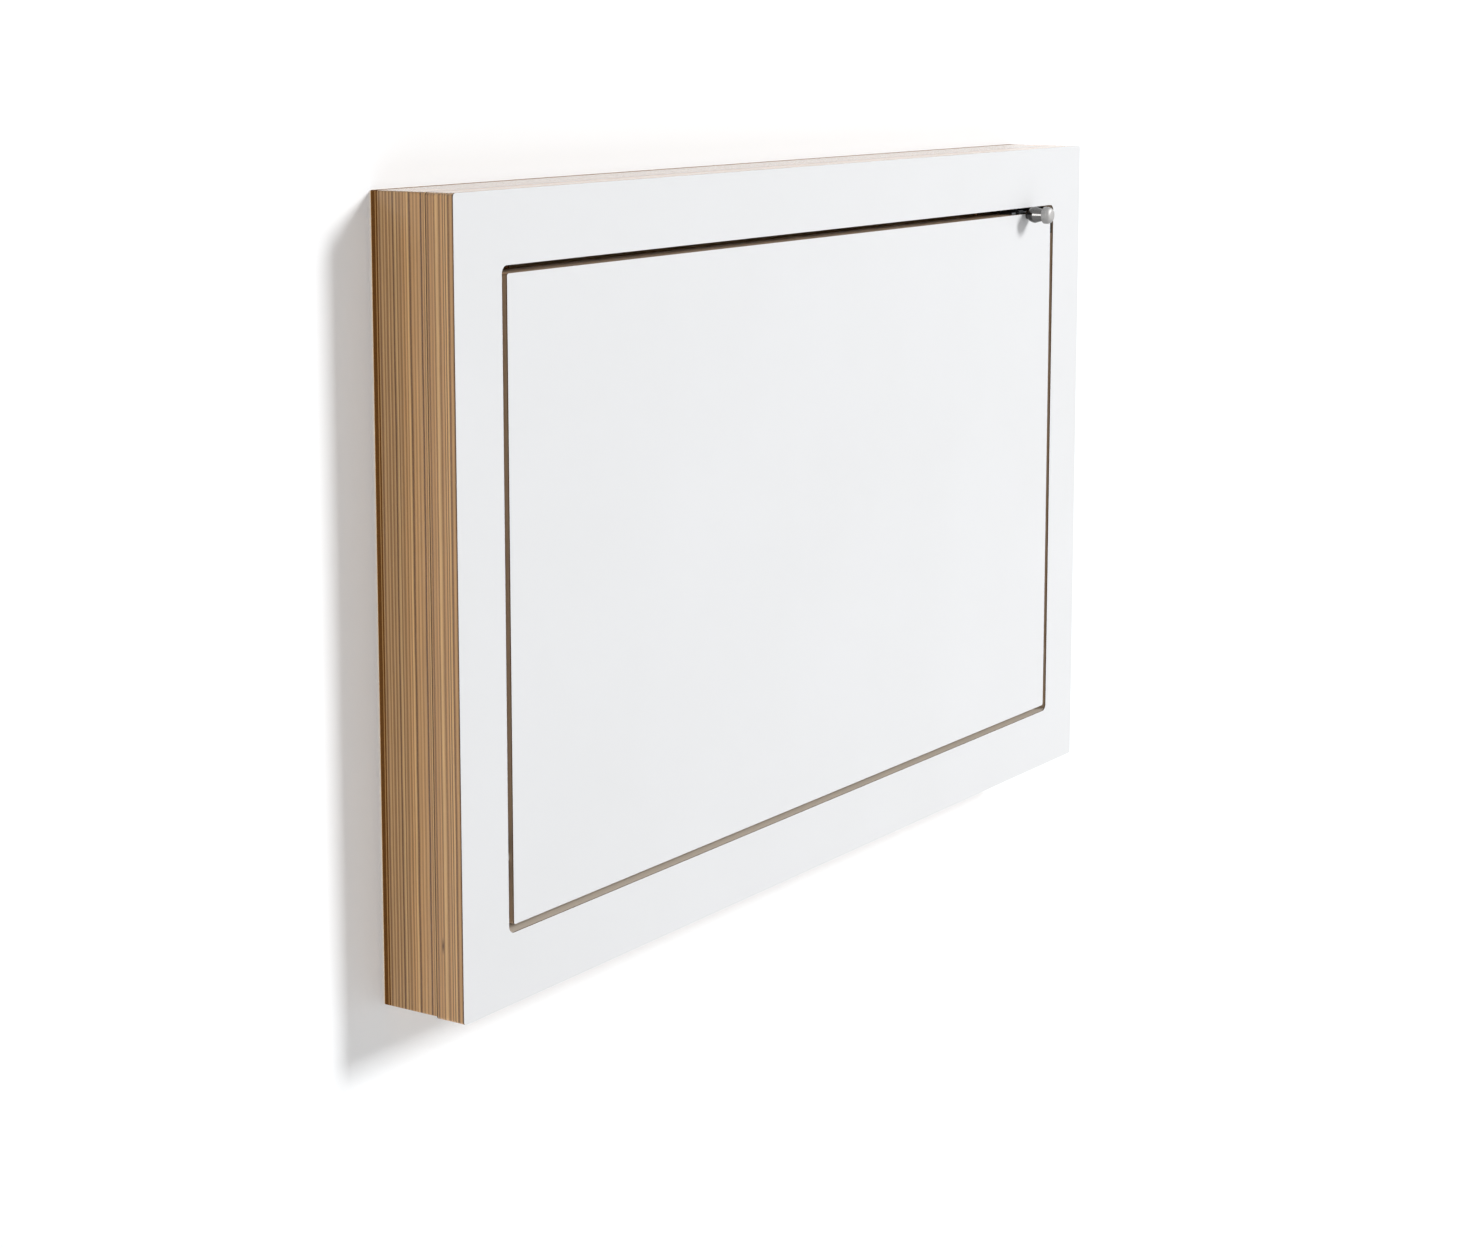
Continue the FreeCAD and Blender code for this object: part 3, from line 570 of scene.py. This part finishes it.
def white_laminate():
    """High-pressure laminate, pressed satin.

    The eye sees an even white with a faint pebbled gloss, and a thin brown line at every cut edge.
    """
    colours = bpy.context.scene.desk_colours
    patterns = bpy.context.scene.desk_finish
    material, tree, shader = new_material("white_laminate", {"Specular IOR Level": 0.4})
    coords = add_node(tree, "ShaderNodeTexCoord")
    position = coords.outputs["Object"]
    normal = add_node(tree, "ShaderNodeSeparateXYZ", None, {"Vector": coords.outputs["Normal"]})
    flat = add_node(tree, "ShaderNodeMath", {"operation": "ABSOLUTE"}, {0: normal.outputs["Y"]})
    on_face = add_node(tree, "ShaderNodeMath", {"operation": "GREATER_THAN"}, {0: flat, 1: FACING})
    cloud, pebbles, paper = (
        add_node(
            tree, "ShaderNodeTexNoise", None, {"Vector": position, "Scale": 1 / size, "Detail": detail}
        )
        for size, detail in (
            (patterns.laminate_cloud, 2.0),
            (patterns.laminate_pebble, 1.0),
            (patterns.laminate_paper, 3.0),
        )
    )
    white = add_node(
        tree,
        "ShaderNodeMix",
        {"data_type": "RGBA"},
        {"Factor": cloud, "A": opaque(colours.laminate), "B": opaque(colours.laminate_shade)},
    )
    brown = add_node(
        tree,
        "ShaderNodeMix",
        {"data_type": "RGBA", "blend_type": "MULTIPLY"},
        {"Factor": PAPER_SHADE, "A": opaque(colours.laminate_edge), "B": paper},
    )
    decor = add_node(
        tree,
        "ShaderNodeMix",
        {"data_type": "RGBA"},
        {"Factor": on_face, "A": brown.outputs[2], "B": white.outputs[2]},
    )
    satin = add_node(tree, "ShaderNodeMapRange", None, {"Value": cloud, **span("To", LAMINATE_ROUGHNESS)})
    gloss = add_node(
        tree, "ShaderNodeMix", {"data_type": "FLOAT"}, {"Factor": on_face, "A": CUT_ROUGHNESS, "B": satin}
    )
    relief = add_node(
        tree,
        "ShaderNodeBump",
        None,
        {"Strength": LAMINATE_RELIEF, "Distance": patterns.fine_relief, "Height": pebbles},
    )
    fill(tree, shader, {"Base Color": decor.outputs[2], "Roughness": gloss, "Normal": relief})
    return material


# How far the roughness of metals and polymers goes below and above its middle, and how strong reliefs are
ZINC_UNEVEN = (-0.08, 0.12)
ZINC_RELIEF = 0.2
TURNED_UNEVEN = (-0.05, 0.08)
TURNED_RELIEF = 0.15
MOULDED_UNEVEN = (-0.1, 0.08)
MOULDED_RELIEF = 0.4
# How dark the duller patches of turned metal are
TARNISH = (0.86, 1.0)
# Width of one ring of the wave texture at a scale of 1
WAVE_RING = 0.314


def zinc_plated_steel(name, roughness):
    """Pressed steel, dark zinc plated.

    The eye sees a dark grey metal with soft clouds of duller crystals and fine rolling marks.
    """
    colours = bpy.context.scene.desk_colours
    patterns = bpy.context.scene.desk_finish
    material, tree, shader = new_material(name, {"Metallic": 1.0})
    position = add_node(tree, "ShaderNodeTexCoord").outputs["Object"]
    crystals = add_node(
        tree,
        "ShaderNodeTexVoronoi",
        {"feature": "SMOOTH_F1"},
        {"Vector": position, "Scale": 1 / patterns.zinc_crystal, "Smoothness": 0.6},
    )
    clouds = add_node(
        tree,
        "ShaderNodeTexNoise",
        None,
        {"Vector": position, "Scale": 1 / patterns.zinc_cloud, "Detail": 3.0},
    )
    rolled_place = add_node(
        tree,
        "ShaderNodeMapping",
        None,
        {"Vector": position, "Scale": stretched("X", patterns.rolled_length, patterns.rolled_width)},
    )
    rolled = add_node(
        tree, "ShaderNodeTexNoise", None, {"Vector": rolled_place, "Scale": 1.0, "Detail": 2.0}
    )
    plating = add_node(tree, "ShaderNodeMath", {"operation": "MULTIPLY"}, {0: crystals, 1: clouds})
    metal = add_node(
        tree,
        "ShaderNodeMix",
        {"data_type": "RGBA"},
        {"Factor": plating, "A": opaque(colours.zinc), "B": opaque(colours.zinc_dull)},
    )
    limits = [roughness + change for change in ZINC_UNEVEN]
    gloss = add_node(tree, "ShaderNodeMapRange", None, {"Value": clouds, **span("To", limits)})
    relief = add_node(
        tree,
        "ShaderNodeBump",
        None,
        {"Strength": ZINC_RELIEF, "Distance": patterns.fine_relief, "Height": rolled},
    )
    fill(tree, shader, {"Base Color": metal.outputs[2], "Roughness": gloss, "Normal": relief})
    return material


def turned_metal(name, rgb, middle, along, ring_spacing, roughness):
    """Metal turned on a lathe, then polished or left satin.

    The eye sees a shine with faint rings round the axis and slightly uneven polish.
    """
    patterns = bpy.context.scene.desk_finish
    material, tree, shader = new_material(name, {"Metallic": 1.0})
    position = add_node(tree, "ShaderNodeTexCoord").outputs["Object"]
    centred = add_node(
        tree, "ShaderNodeMapping", None, {"Vector": position, "Location": [-c for c in middle]}
    )
    rings = add_node(
        tree,
        "ShaderNodeTexWave",
        {"wave_type": "RINGS", "rings_direction": along},
        {
            "Vector": centred,
            "Scale": WAVE_RING / ring_spacing,
            "Distortion": 0.6,
            "Detail": 1.0,
            "Detail Scale": 2.0,
        },
    )
    wear = add_node(
        tree,
        "ShaderNodeTexNoise",
        None,
        {"Vector": position, "Scale": 1 / patterns.metal_wear, "Detail": 3.0},
    )
    tarnish = add_node(tree, "ShaderNodeMapRange", None, {"Value": wear, **span("To", TARNISH)})
    metal = add_node(
        tree,
        "ShaderNodeMix",
        {"data_type": "RGBA", "blend_type": "MULTIPLY"},
        {"Factor": 1.0, "A": opaque(rgb), "B": tarnish},
    )
    limits = [roughness + change for change in TURNED_UNEVEN]
    gloss = add_node(tree, "ShaderNodeMapRange", None, {"Value": wear, **span("To", limits)})
    relief = add_node(
        tree,
        "ShaderNodeBump",
        None,
        {"Strength": TURNED_RELIEF, "Distance": patterns.fine_relief, "Height": rings.outputs["Fac"]},
    )
    fill(tree, shader, {"Base Color": metal.outputs[2], "Roughness": gloss, "Normal": relief})
    return material


def moulded(name, rgb, spread, grit, roughness):
    """A moulded polymer, such as nylon or rubber.

    The eye sees a dull, slightly mottled skin with the fine grit of the mould.
    """
    patterns = bpy.context.scene.desk_finish
    material, tree, shader = new_material(name, {"Specular IOR Level": 0.4})
    position = add_node(tree, "ShaderNodeTexCoord").outputs["Object"]
    mottle, skin = (
        add_node(
            tree, "ShaderNodeTexNoise", None, {"Vector": position, "Scale": 1 / size, "Detail": detail}
        )
        for size, detail in ((patterns.mottle, 4.0), (grit, 2.0))
    )
    tint = add_node(
        tree, "ShaderNodeMapRange", None, {"Value": mottle, **span("To", (1.0 - spread, 1.0))}
    )
    body = add_node(
        tree,
        "ShaderNodeMix",
        {"data_type": "RGBA", "blend_type": "MULTIPLY"},
        {"Factor": 1.0, "A": opaque(rgb), "B": tint},
    )
    limits = [roughness + change for change in MOULDED_UNEVEN]
    gloss = add_node(tree, "ShaderNodeMapRange", None, {"Value": skin, **span("To", limits)})
    relief = add_node(
        tree,
        "ShaderNodeBump",
        None,
        {"Strength": MOULDED_RELIEF, "Distance": patterns.mould_relief, "Height": skin},
    )
    fill(tree, shader, {"Base Color": body.outputs[2], "Roughness": gloss, "Normal": relief})
    return material


def give(material, *nodes):
    """Puts one material on CAD nodes."""
    for node in nodes:
        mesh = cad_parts[node].data
        mesh.materials.clear()
        mesh.materials.append(material)


def finished(name, mesh_builder, material, body, slot, *nodes):
    """Makes an object from a bmesh in place, and sets what it rides on and stands for."""
    mesh = bpy.data.meshes.new(name)
    mesh_builder.to_mesh(mesh)
    mesh_builder.free()
    mesh.materials.append(material)
    piece = bpy.data.objects.new(name, mesh)
    bpy.context.scene.collection.objects.link(piece)
    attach(piece, body)
    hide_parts(*nodes)
    return piece


def block_between(low, high):
    """A bmesh box between two corners."""
    builder = bmesh.new()
    place = Matrix.Translation((low + high) / 2) @ Matrix.Diagonal((*(high - low), 1.0))
    bmesh.ops.create_cube(builder, size=1.0, matrix=place)
    return builder


def ease(builder, edges, radius, segments):
    """Rounds edges."""
    bmesh.ops.bevel(
        builder,
        geom=edges,
        offset=radius,
        offset_type="OFFSET",
        segments=segments,
        profile=0.5,
        affect="EDGES",
        clamp_overlap=True,
        material=-1,
    )


def smooth(builder, angle):
    """Shades smooth, with edges sharper than an angle left crisp."""
    for face in builder.faces:
        face.smooth = True
    for edge in builder.edges:
        edge.smooth = len(edge.link_faces) == 2 and edge.calc_face_angle() < angle


# Angles between faces at which edges stay crisp, on plain and on turned pieces, or are still unrounded
CRISP = math.radians(40)
CRISP_TURNED = math.radians(14)
UNROUNDED = math.radians(80)
# Points of the knob nearer than this are one point
MERGED = MM / 1000
# Steps of the rounded edges and of the knob's arcs, and sides of the round pieces
BOARD_STEPS = 3
RIM_STEPS = 4
PAD_STEPS = 2
NOSE_STEPS = 4
BOLT_STEPS = 2
ARC_STEPS = 12
HEAD_STEPS = 8
BUMPER_SIDES = 40
KNOB_SIDES = 64
# Roughness of metals and polymers, and how much darker the mottled patches of the polymers get
PLATE_ROUGHNESS = 0.5
SCREW_ROUGHNESS = 0.4
BOLT_ROUGHNESS = 0.55
BRASS_ROUGHNESS = 0.28
NICKEL_ROUGHNESS = 0.12
SATIN_ROUGHNESS = 0.58
NYLON_ROUGHNESS = 0.48
NYLON_SPREAD = 0.06
RUBBER_ROUGHNESS = 0.75
RUBBER_SPREAD = 0.3
# Veneers in each kind of board, and where the back panel's stripes start
BACK_VENEERS = 2.95
LAYER_VENEERS = 14
FRONT_VENEERS = 15
RAIL_VENEERS = 9
INNER_VENEERS = 7
LIP_VENEERS = 5
BACK_PANEL_PHASE = 0.1
# Each layer of the case with the seed of its pattern and the tones of its stiles and rails, and the tone
# of the front board; the rails' darker tone is painted shade, so that the lit top edge looks greyer
LAYERS = (("rear", 23.0, 0.81, 0.64), ("front", 61.0, 1.0, 0.68))
FRONT_TONE = 1.02
# Inner boards: across which axis the veneers lie, along which the grain runs, veneers, and seed
INNER_BOARDS = (
    ("shelf", "Z", "X", INNER_VENEERS, 5.0),
    ("bay_divider", "X", "Z", INNER_VENEERS, 15.0),
    ("document_lip", "Y", "X", LIP_VENEERS, 19.0),
    ("pocket_lip", "Y", "X", LIP_VENEERS, 29.0),
    ("left_pocket_divider", "X", "Z", INNER_VENEERS, 31.0),
    ("middle_pocket_divider", "X", "Z", INNER_VENEERS, 33.0),
    ("right_pocket_divider", "X", "Z", INNER_VENEERS, 35.0),
)
# How far past the strike plate's top the opening's edge lies
SEALED_PAST = 3 * MM
# A small knot low on the left edge of the front board
KNOT_FROM_CORNER = Vector((0, 14.5, 47)) * MM
KNOT_SIZE = Vector((4, 1.4, 6)) * MM
SIDES = ("left", "right")


class DESK_OT_case_boards(bpy.types.Operator):
    """Gives the plywood boards of the case and the flap their wood"""

    bl_idname = "wall_desk.case_boards"
    bl_label = "Case boards"

    def execute(self, context):
        colours = context.scene.desk_colours
        thin = birch_plywood(
            "back_ply",
            "back_panel",
            "Y",
            "X",
            BACK_VENEERS,
            seed=11.0,
            stripes=THIN_PANEL,
            finish=RAW,
            dark=colours.red_veneer,
            phase=BACK_PANEL_PHASE,
        )
        give(thin, "back_panel")
        # Rails take a darker tone than the stiles: painted shade on the top and bottom edges
        for layer, seed, stile_tone, rail_painted_shade in LAYERS:
            for strip, sides, grain, tone in (
                ("stile", SIDES, "Z", stile_tone),
                ("rail", ("top", "bottom"), "X", rail_painted_shade),
            ):
                names = [f"{layer}_{side}_{strip}" for side in sides]
                wood = birch_plywood(
                    f"{layer}_{strip}_ply", names[0], "Y", grain, LAYER_VENEERS, seed, tone=tone
                )
                give(wood, *names)
        knot = (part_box("front_frame")[0] + KNOT_FROM_CORNER, KNOT_SIZE)
        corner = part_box("strike_plate")[1]
        opening = (corner.x, corner.z + SEALED_PAST)
        # The second colour of each board is painted light on its upward-facing edges inside the opening
        for node, painted_top_light in (("front_frame", colours.sill_top_light), ("flap_core", colours.flap_top_light)):
            board = birch_plywood(
                f"{node}_ply",
                "front_frame",
                "Y",
                "X",
                FRONT_VENEERS,
                seed=83.0,
                stripes=FRONT_BOARD,
                tone=FRONT_TONE,
                knot=knot,
                sealer_with_light=(*opening, painted_top_light),
            )
            give(board, node)
        for kind, axis, seed in (("hanging", "Y", 37.0), ("stop", "Z", 45.0)):
            rail = f"{kind}_rail"
            give(birch_plywood(f"{kind}_ply", rail, axis, "X", RAIL_VENEERS, seed), rail)
        return {"FINISHED"}


class DESK_OT_laminates(bpy.types.Operator):
    """Gives the front frame and the flap their white laminate"""

    bl_idname = "wall_desk.laminates"
    bl_label = "Laminates"

    def execute(self, context):
        give(
            white_laminate(),
            "frame_face_laminate",
            "frame_backing_laminate",
            "flap_face_laminate",
            "flap_desktop_laminate",
        )
        return {"FINISHED"}


class DESK_OT_fittings(bpy.types.Operator):
    """Gives the pivots, plates and screws their metal and nylon"""

    bl_idname = "wall_desk.fittings"
    bl_label = "Fittings"

    def execute(self, context):
        colours = context.scene.desk_colours
        patterns = context.scene.desk_finish
        give(
            zinc_plated_steel("zinc_plated_plate", PLATE_ROUGHNESS),
            "strike_plate",
            "bolt_guide",
            *(f"{side}_pivot_plate" for side in SIDES),
            *(f"{side}_pivot_pin" for side in SIDES),
        )
        give(
            zinc_plated_steel("zinc_plated_screw", SCREW_ROUGHNESS),
            "case_screws",
            "rail_screws",
            "pivot_plate_screws",
            "strike_screws",
            "bolt_guide_screws",
        )
        low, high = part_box("left_pivot_bush")
        middle = (low + high) / 2
        brass = turned_metal(
            "turned_brass", colours.brass, middle, "X", patterns.brass_ring, BRASS_ROUGHNESS
        )
        give(brass, *(f"{side}_pivot_bush" for side in SIDES))
        nylon = moulded(
            "natural_nylon", colours.nylon, NYLON_SPREAD, patterns.nylon_grit, NYLON_ROUGHNESS
        )
        give(nylon, *(f"{side}_pivot_washer" for side in SIDES))
        return {"FINISHED"}


class DESK_OT_inner_boards(bpy.types.Operator):
    """Makes the shelf, lips and dividers with sanded edges"""

    bl_idname = "wall_desk.inner_boards"
    bl_label = "Inner boards"

    def execute(self, context):
        easing = context.scene.desk_sizes.board_easing
        for node, axis, grain, veneers, seed in INNER_BOARDS:
            wood = birch_plywood(f"{node}_ply", node, axis, grain, veneers, seed)
            builder = block_between(*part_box(node))
            ease(builder, builder.edges[:], easing, BOARD_STEPS)
            smooth(builder, CRISP)
            finished(f"eased_{node}", builder, wood, "carcass", "plywood", node)
        return {"FINISHED"}


class DESK_OT_rubber(bpy.types.Operator):
    """Makes the dished bumpers and the stop pad"""

    bl_idname = "wall_desk.rubber"
    bl_label = "Bumpers and stop pad"

    def execute(self, context):
        sizes = context.scene.desk_sizes
        black = context.scene.desk_colours.rubber
        grit = context.scene.desk_finish.rubber_grit
        rubber = moulded("black_rubber", black, RUBBER_SPREAD, grit, RUBBER_ROUGHNESS)
        for node in [f"{level}_{side}_bumper" for level in ("upper", "lower") for side in SIDES]:
            low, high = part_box(node)
            radius = (high.x - low.x) / 2
            middle = (low + high) / 2
            base = Vector((middle.x, high.y, middle.z))
            builder = bmesh.new()
            turn = Matrix.Translation(base) @ Matrix.Rotation(QUARTER_TURN, 4, "X")
            bmesh.ops.create_circle(
                builder, cap_ends=True, segments=BUMPER_SIDES, radius=radius, matrix=turn
            )
            disc = builder.faces[:]
            raised = bmesh.ops.extrude_face_region(builder, geom=disc, use_keep_orig=True)
            top = [g for g in raised["geom"] if isinstance(g, bmesh.types.BMVert)]
            bmesh.ops.translate(builder, verts=top, vec=(0, low.y - high.y, 0))
            front = [f for f in builder.faces if f.calc_center_median().y < low.y + NEAR]
            bmesh.ops.inset_region(builder, faces=front, thickness=radius / 2, depth=0)
            inner = min(front, key=lambda f: (f.calc_center_median() - middle).length)
            bmesh.ops.translate(builder, verts=inner.verts[:], vec=(0, sizes.bumper_dish, 0))
            bmesh.ops.recalc_face_normals(builder, faces=builder.faces[:])
            rim = [
                e
                for e in builder.edges
                if all(
                    v.co.y < low.y + NEAR
                    and math.hypot(v.co.x - middle.x, v.co.z - middle.z) > radius - NEAR
                    for v in e.verts
                )
            ]
            ease(builder, rim, sizes.bumper_easing, RIM_STEPS)
            smooth(builder, CRISP)
            finished(f"dished_{node}", builder, rubber, "carcass", "rubber", node)
        builder = block_between(*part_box("stop_pad"))
        ease(builder, builder.edges[:], sizes.pad_easing, PAD_STEPS)
        smooth(builder, CRISP)
        finished("eased_stop_pad", builder, rubber, "carcass", "rubber", "stop_pad")
        return {"FINISHED"}


class DESK_OT_slide_bolt(bpy.types.Operator):
    """Makes the slide bolt with eased edges and a bevelled nose"""

    bl_idname = "wall_desk.slide_bolt"
    bl_label = "Slide bolt"

    def execute(self, context):
        sizes = context.scene.desk_sizes
        low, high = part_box("latch_bolt")
        builder = block_between(low, high)
        nose = [e for e in builder.edges if all(v.co.x > high.x - NEAR for v in e.verts)]
        nose = [e for e in nose if abs(e.verts[0].co.z - e.verts[1].co.z) > MM]
        ease(builder, nose, sizes.bolt_nose, NOSE_STEPS)
        sharp = [e for e in builder.edges if e.calc_face_angle() > UNROUNDED]
        ease(builder, sharp, sizes.bolt_easing, BOLT_STEPS)
        smooth(builder, CRISP)
        steel = zinc_plated_steel("zinc_plated_bolt", BOLT_ROUGHNESS)
        finished("eased_latch_bolt", builder, steel, "bolt", "steel", "latch_bolt")
        return {"FINISHED"}


class DESK_OT_knob(bpy.types.Operator):
    """Turns the knob on the slide bolt: a short neck, a full body, a waist and a rounded head"""

    bl_idname = "wall_desk.knob"
    bl_label = "Knob"

    def execute(self, context):
        sizes = context.scene.desk_sizes
        colours = context.scene.desk_colours
        patterns = context.scene.desk_finish
        low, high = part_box("latch_knob")
        middle = (low + high) / 2
        head_radius = (high.x - low.x) / 2
        back, front = high.y, low.y
        neck_end = back - sizes.knob_neck
        widest = back - sizes.knob_widest

        builder = bmesh.new()
        outline = [
            builder.verts.new((middle.x, back, middle.z)),
            builder.verts.new((middle.x + sizes.knob_neck_radius, back, middle.z)),
            builder.verts.new((middle.x + sizes.knob_neck_radius, neck_end, middle.z)),
        ]
        for first, second in zip(outline, outline[1:]):
            builder.edges.new((first, second))
        # The full back is an arc up to the widest ring, and the front tapers straight to the waist
        head_back = front + sizes.knob_head
        run = neck_end - widest
        rise = sizes.knob_body_radius - sizes.knob_neck_radius
        arc_radius = (run**2 + rise**2) / (2 * rise)
        arc = bmesh.ops.spin(
            builder,
            geom=outline[-1:],
            cent=(middle.x + sizes.knob_body_radius - arc_radius, widest, middle.z),
            axis=(0, 0, -1),
            dvec=(0, 0, 0),
            angle=math.asin(run / arc_radius),
            steps=ARC_STEPS,
        )
        last = next(g for g in arc["geom_last"] if isinstance(g, bmesh.types.BMVert))
        for out, along in (
            (sizes.knob_waist_radius, head_back),
            (head_radius, head_back),
            (head_radius, front),
            (0, front),
        ):
            corner = builder.verts.new((middle.x + out, along, middle.z))
            builder.edges.new((last, corner))
            last = corner
        bmesh.ops.spin(
            builder,
            geom=builder.verts[:] + builder.edges[:],
            cent=middle,
            axis=(0, 1, 0),
            dvec=(0, 0, 0),
            angle=math.tau,
            steps=KNOB_SIDES,
            use_merge=True,
        )
        bmesh.ops.remove_doubles(builder, verts=builder.verts[:], dist=MERGED)
        bmesh.ops.recalc_face_normals(builder, faces=builder.faces[:])
        rim = [e for e in builder.edges if all(v.co.y < front + NEAR for v in e.verts)]
        rim = [e for e in rim if e.calc_face_angle() > CRISP]
        ease(builder, rim, sizes.knob_easing, HEAD_STEPS)
        smooth(builder, CRISP_TURNED)
        for face in builder.faces:
            face.material_index = int(face.calc_center_median().y < head_back - NEAR)
        # Painted reflection: the knob's sides get a darker colour and its end a paler one, for the dark
        # and bright surroundings that the one metal reflects
        nickel = turned_metal(
            "black_nickel", colours.knob, middle, "Y", patterns.nickel_ring, NICKEL_ROUGHNESS
        )
        knob = finished("turned_knob", builder, nickel, "bolt", "knob_steel", "latch_knob")
        satin = turned_metal(
            "satin_nickel", colours.knob_end_bright, middle, "Y", patterns.satin_ring, SATIN_ROUGHNESS
        )
        knob.data.materials.append(satin)
        give(nickel, "knob_stem")
        return {"FINISHED"}


# The backdrop's matt paint, and the white of the light that it and the room add
PAINT_ROUGHNESS = 0.9
WHITE = (1.0, 1.0, 1.0, 1.0)


def seen_ray(tree):
    """Adds nodes that give 1 to rays by which a surface is seen, and 0 to rays that only light others."""
    path = add_node(tree, "ShaderNodeLightPath")
    shown = path.outputs["Is Camera Ray"]
    for kind in ("Is Glossy Ray", "Is Transmission Ray"):
        either = {0: shown, 1: path.outputs[kind]}
        shown = add_node(tree, "ShaderNodeMath", {"operation": "MAXIMUM"}, either)
    return shown


def backdrop_material(name, paint, lift, one_sided):
    """Matt white paint, which clips to plain white where it is lit and keeps the desk's soft shadow."""
    material, tree, shader = new_material(
        name,
        {
            "Base Color": opaque(paint),
            "Roughness": PAINT_ROUGHNESS,
            "Specular IOR Level": 0.0,
            "Emission Color": WHITE,
        },
    )
    lifted = add_node(tree, "ShaderNodeMath", {"operation": "MULTIPLY"}, {0: seen_ray(tree), 1: lift})
    fill(tree, shader, {"Emission Strength": lifted})
    if one_sided:
        side = add_node(tree, "ShaderNodeNewGeometry")
        clear = add_node(tree, "ShaderNodeBsdfTransparent")
        seen_side = add_node(
            tree,
            "ShaderNodeMixShader",
            None,
            {0: side.outputs["Backfacing"], 1: shader.outputs["BSDF"], 2: clear.outputs["BSDF"]},
        )
        fill(tree, tree.nodes["Material Output"], {"Surface": seen_side})
    return material


class DESK_OT_stage(bpy.types.Operator):
    """Sets up the white wall, the floor, the light and the camera"""

    bl_idname = "wall_desk.stage"
    bl_label = "Stage"

    def execute(self, context):
        scene = context.scene
        stage = scene.desk_stage
        floor_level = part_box("left_pivot_pin")[0].z - stage.desktop_height
        on_floor = Matrix.Translation((0, 0, floor_level))
        on_wall = Matrix.Translation((0, stage.wall_gap, floor_level + stage.reach))
        on_wall = on_wall @ Matrix.Rotation(QUARTER_TURN, 4, "X")
        sheets = (
            ("stage_floor", on_floor, stage.floor_paint, stage.floor_lift, False),
            ("stage_wall", on_wall, stage.wall_paint, stage.wall_lift, True),
        )
        for name, place, paint, lift, one_sided in sheets:
            builder = bmesh.new()
            bmesh.ops.create_grid(builder, x_segments=1, y_segments=1, size=stage.reach, matrix=place)
            mesh = bpy.data.meshes.new(name)
            builder.to_mesh(mesh)
            builder.free()
            mesh.materials.append(backdrop_material(f"{name}_paint", paint, lift, one_sided))
            sheet = bpy.data.objects.new(name, mesh)
            scene.collection.objects.link(sheet)
            if one_sided:
                sheet.visible_diffuse = False
                sheet.visible_shadow = False

        for name in ("lamp", "fill", "back"):
            lamp = bpy.data.lights.new(name, "AREA")
            lamp.shape = "RECTANGLE"
            lamp.size = getattr(stage, f"{name}_width")
            lamp.size_y = getattr(stage, f"{name}_height")
            lamp.energy = getattr(stage, f"{name}_power")
            lit = bpy.data.objects.new(name, lamp)
            way = Vector(getattr(stage, f"{name}_way")).normalized()
            lit.location = way * getattr(stage, f"{name}_distance")
            lit.rotation_euler = way.to_track_quat("Z", "Y").to_euler()
            scene.collection.objects.link(lit)

        world = bpy.data.worlds.new("studio")
        world.use_nodes = True
        tree = world.node_tree
        strength = add_node(
            tree,
            "ShaderNodeMapRange",
            None,
            {"Value": seen_ray(tree), **span("To", (stage.room_light, 1.0))},
        )
        fill(tree, tree.nodes["Background"], {"Color": WHITE, "Strength": strength})
        scene.world = world
        scene.view_settings.view_transform = "Standard"

        lens = bpy.data.cameras.new("camera")
        lens.lens = stage.lens
        lens.shift_y = stage.lens_shift
        camera = bpy.data.objects.new("camera", lens)
        camera.location = stage.camera_place
        camera.rotation_euler = (QUARTER_TURN - stage.camera_tilt, 0, stage.camera_turn - QUARTER_TURN)
        scene.collection.objects.link(camera)
        scene.camera = camera
        return {"FINISHED"}


class DESK_PT_panel(bpy.types.Panel):
    """Lists the desk's pieces, sizes and colours"""

    bl_label = "Wall Desk"
    bl_idname = "DESK_PT_panel"
    bl_space_type = "VIEW_3D"
    bl_region_type = "UI"
    bl_category = "Wall Desk"

    def draw(self, context):
        layout = self.layout
        for operator in OPERATORS:
            layout.operator(operator.bl_idname)
        for setting, group in GROUPS:
            box = layout.box()
            for name in group.__annotations__:
                box.prop(getattr(context.scene, setting), name)


GROUPS = (
    ("desk_colours", DeskColours),
    ("desk_sizes", DeskSizes),
    ("desk_grain", WoodGrain),
    ("desk_finish", FinishPatterns),
    ("desk_stage", StageSettings),
)
OPERATORS = (
    DESK_OT_case_boards,
    DESK_OT_laminates,
    DESK_OT_fittings,
    DESK_OT_inner_boards,
    DESK_OT_rubber,
    DESK_OT_slide_bolt,
    DESK_OT_knob,
    DESK_OT_stage,
)


def register():
    """Registers the settings, operators and panel."""
    for name, group in GROUPS:
        bpy.utils.register_class(group)
        setattr(bpy.types.Scene, name, PointerProperty(type=group))
    for operator in OPERATORS:
        bpy.utils.register_class(operator)
    bpy.utils.register_class(DESK_PT_panel)


def unregister():
    """Takes the panel, operators and settings away again."""
    bpy.utils.unregister_class(DESK_PT_panel)
    for operator in reversed(OPERATORS):
        bpy.utils.unregister_class(operator)
    for name, group in reversed(GROUPS):
        delattr(bpy.types.Scene, name)
        bpy.utils.unregister_class(group)


def main():
    """Builds the dressed desk and its stage."""
    register()
    bpy.ops.wall_desk.case_boards()
    bpy.ops.wall_desk.laminates()
    bpy.ops.wall_desk.fittings()
    bpy.ops.wall_desk.inner_boards()
    bpy.ops.wall_desk.rubber()
    bpy.ops.wall_desk.slide_bolt()
    bpy.ops.wall_desk.knob()
    bpy.ops.wall_desk.stage()


if __name__ == "__main__":
    main()
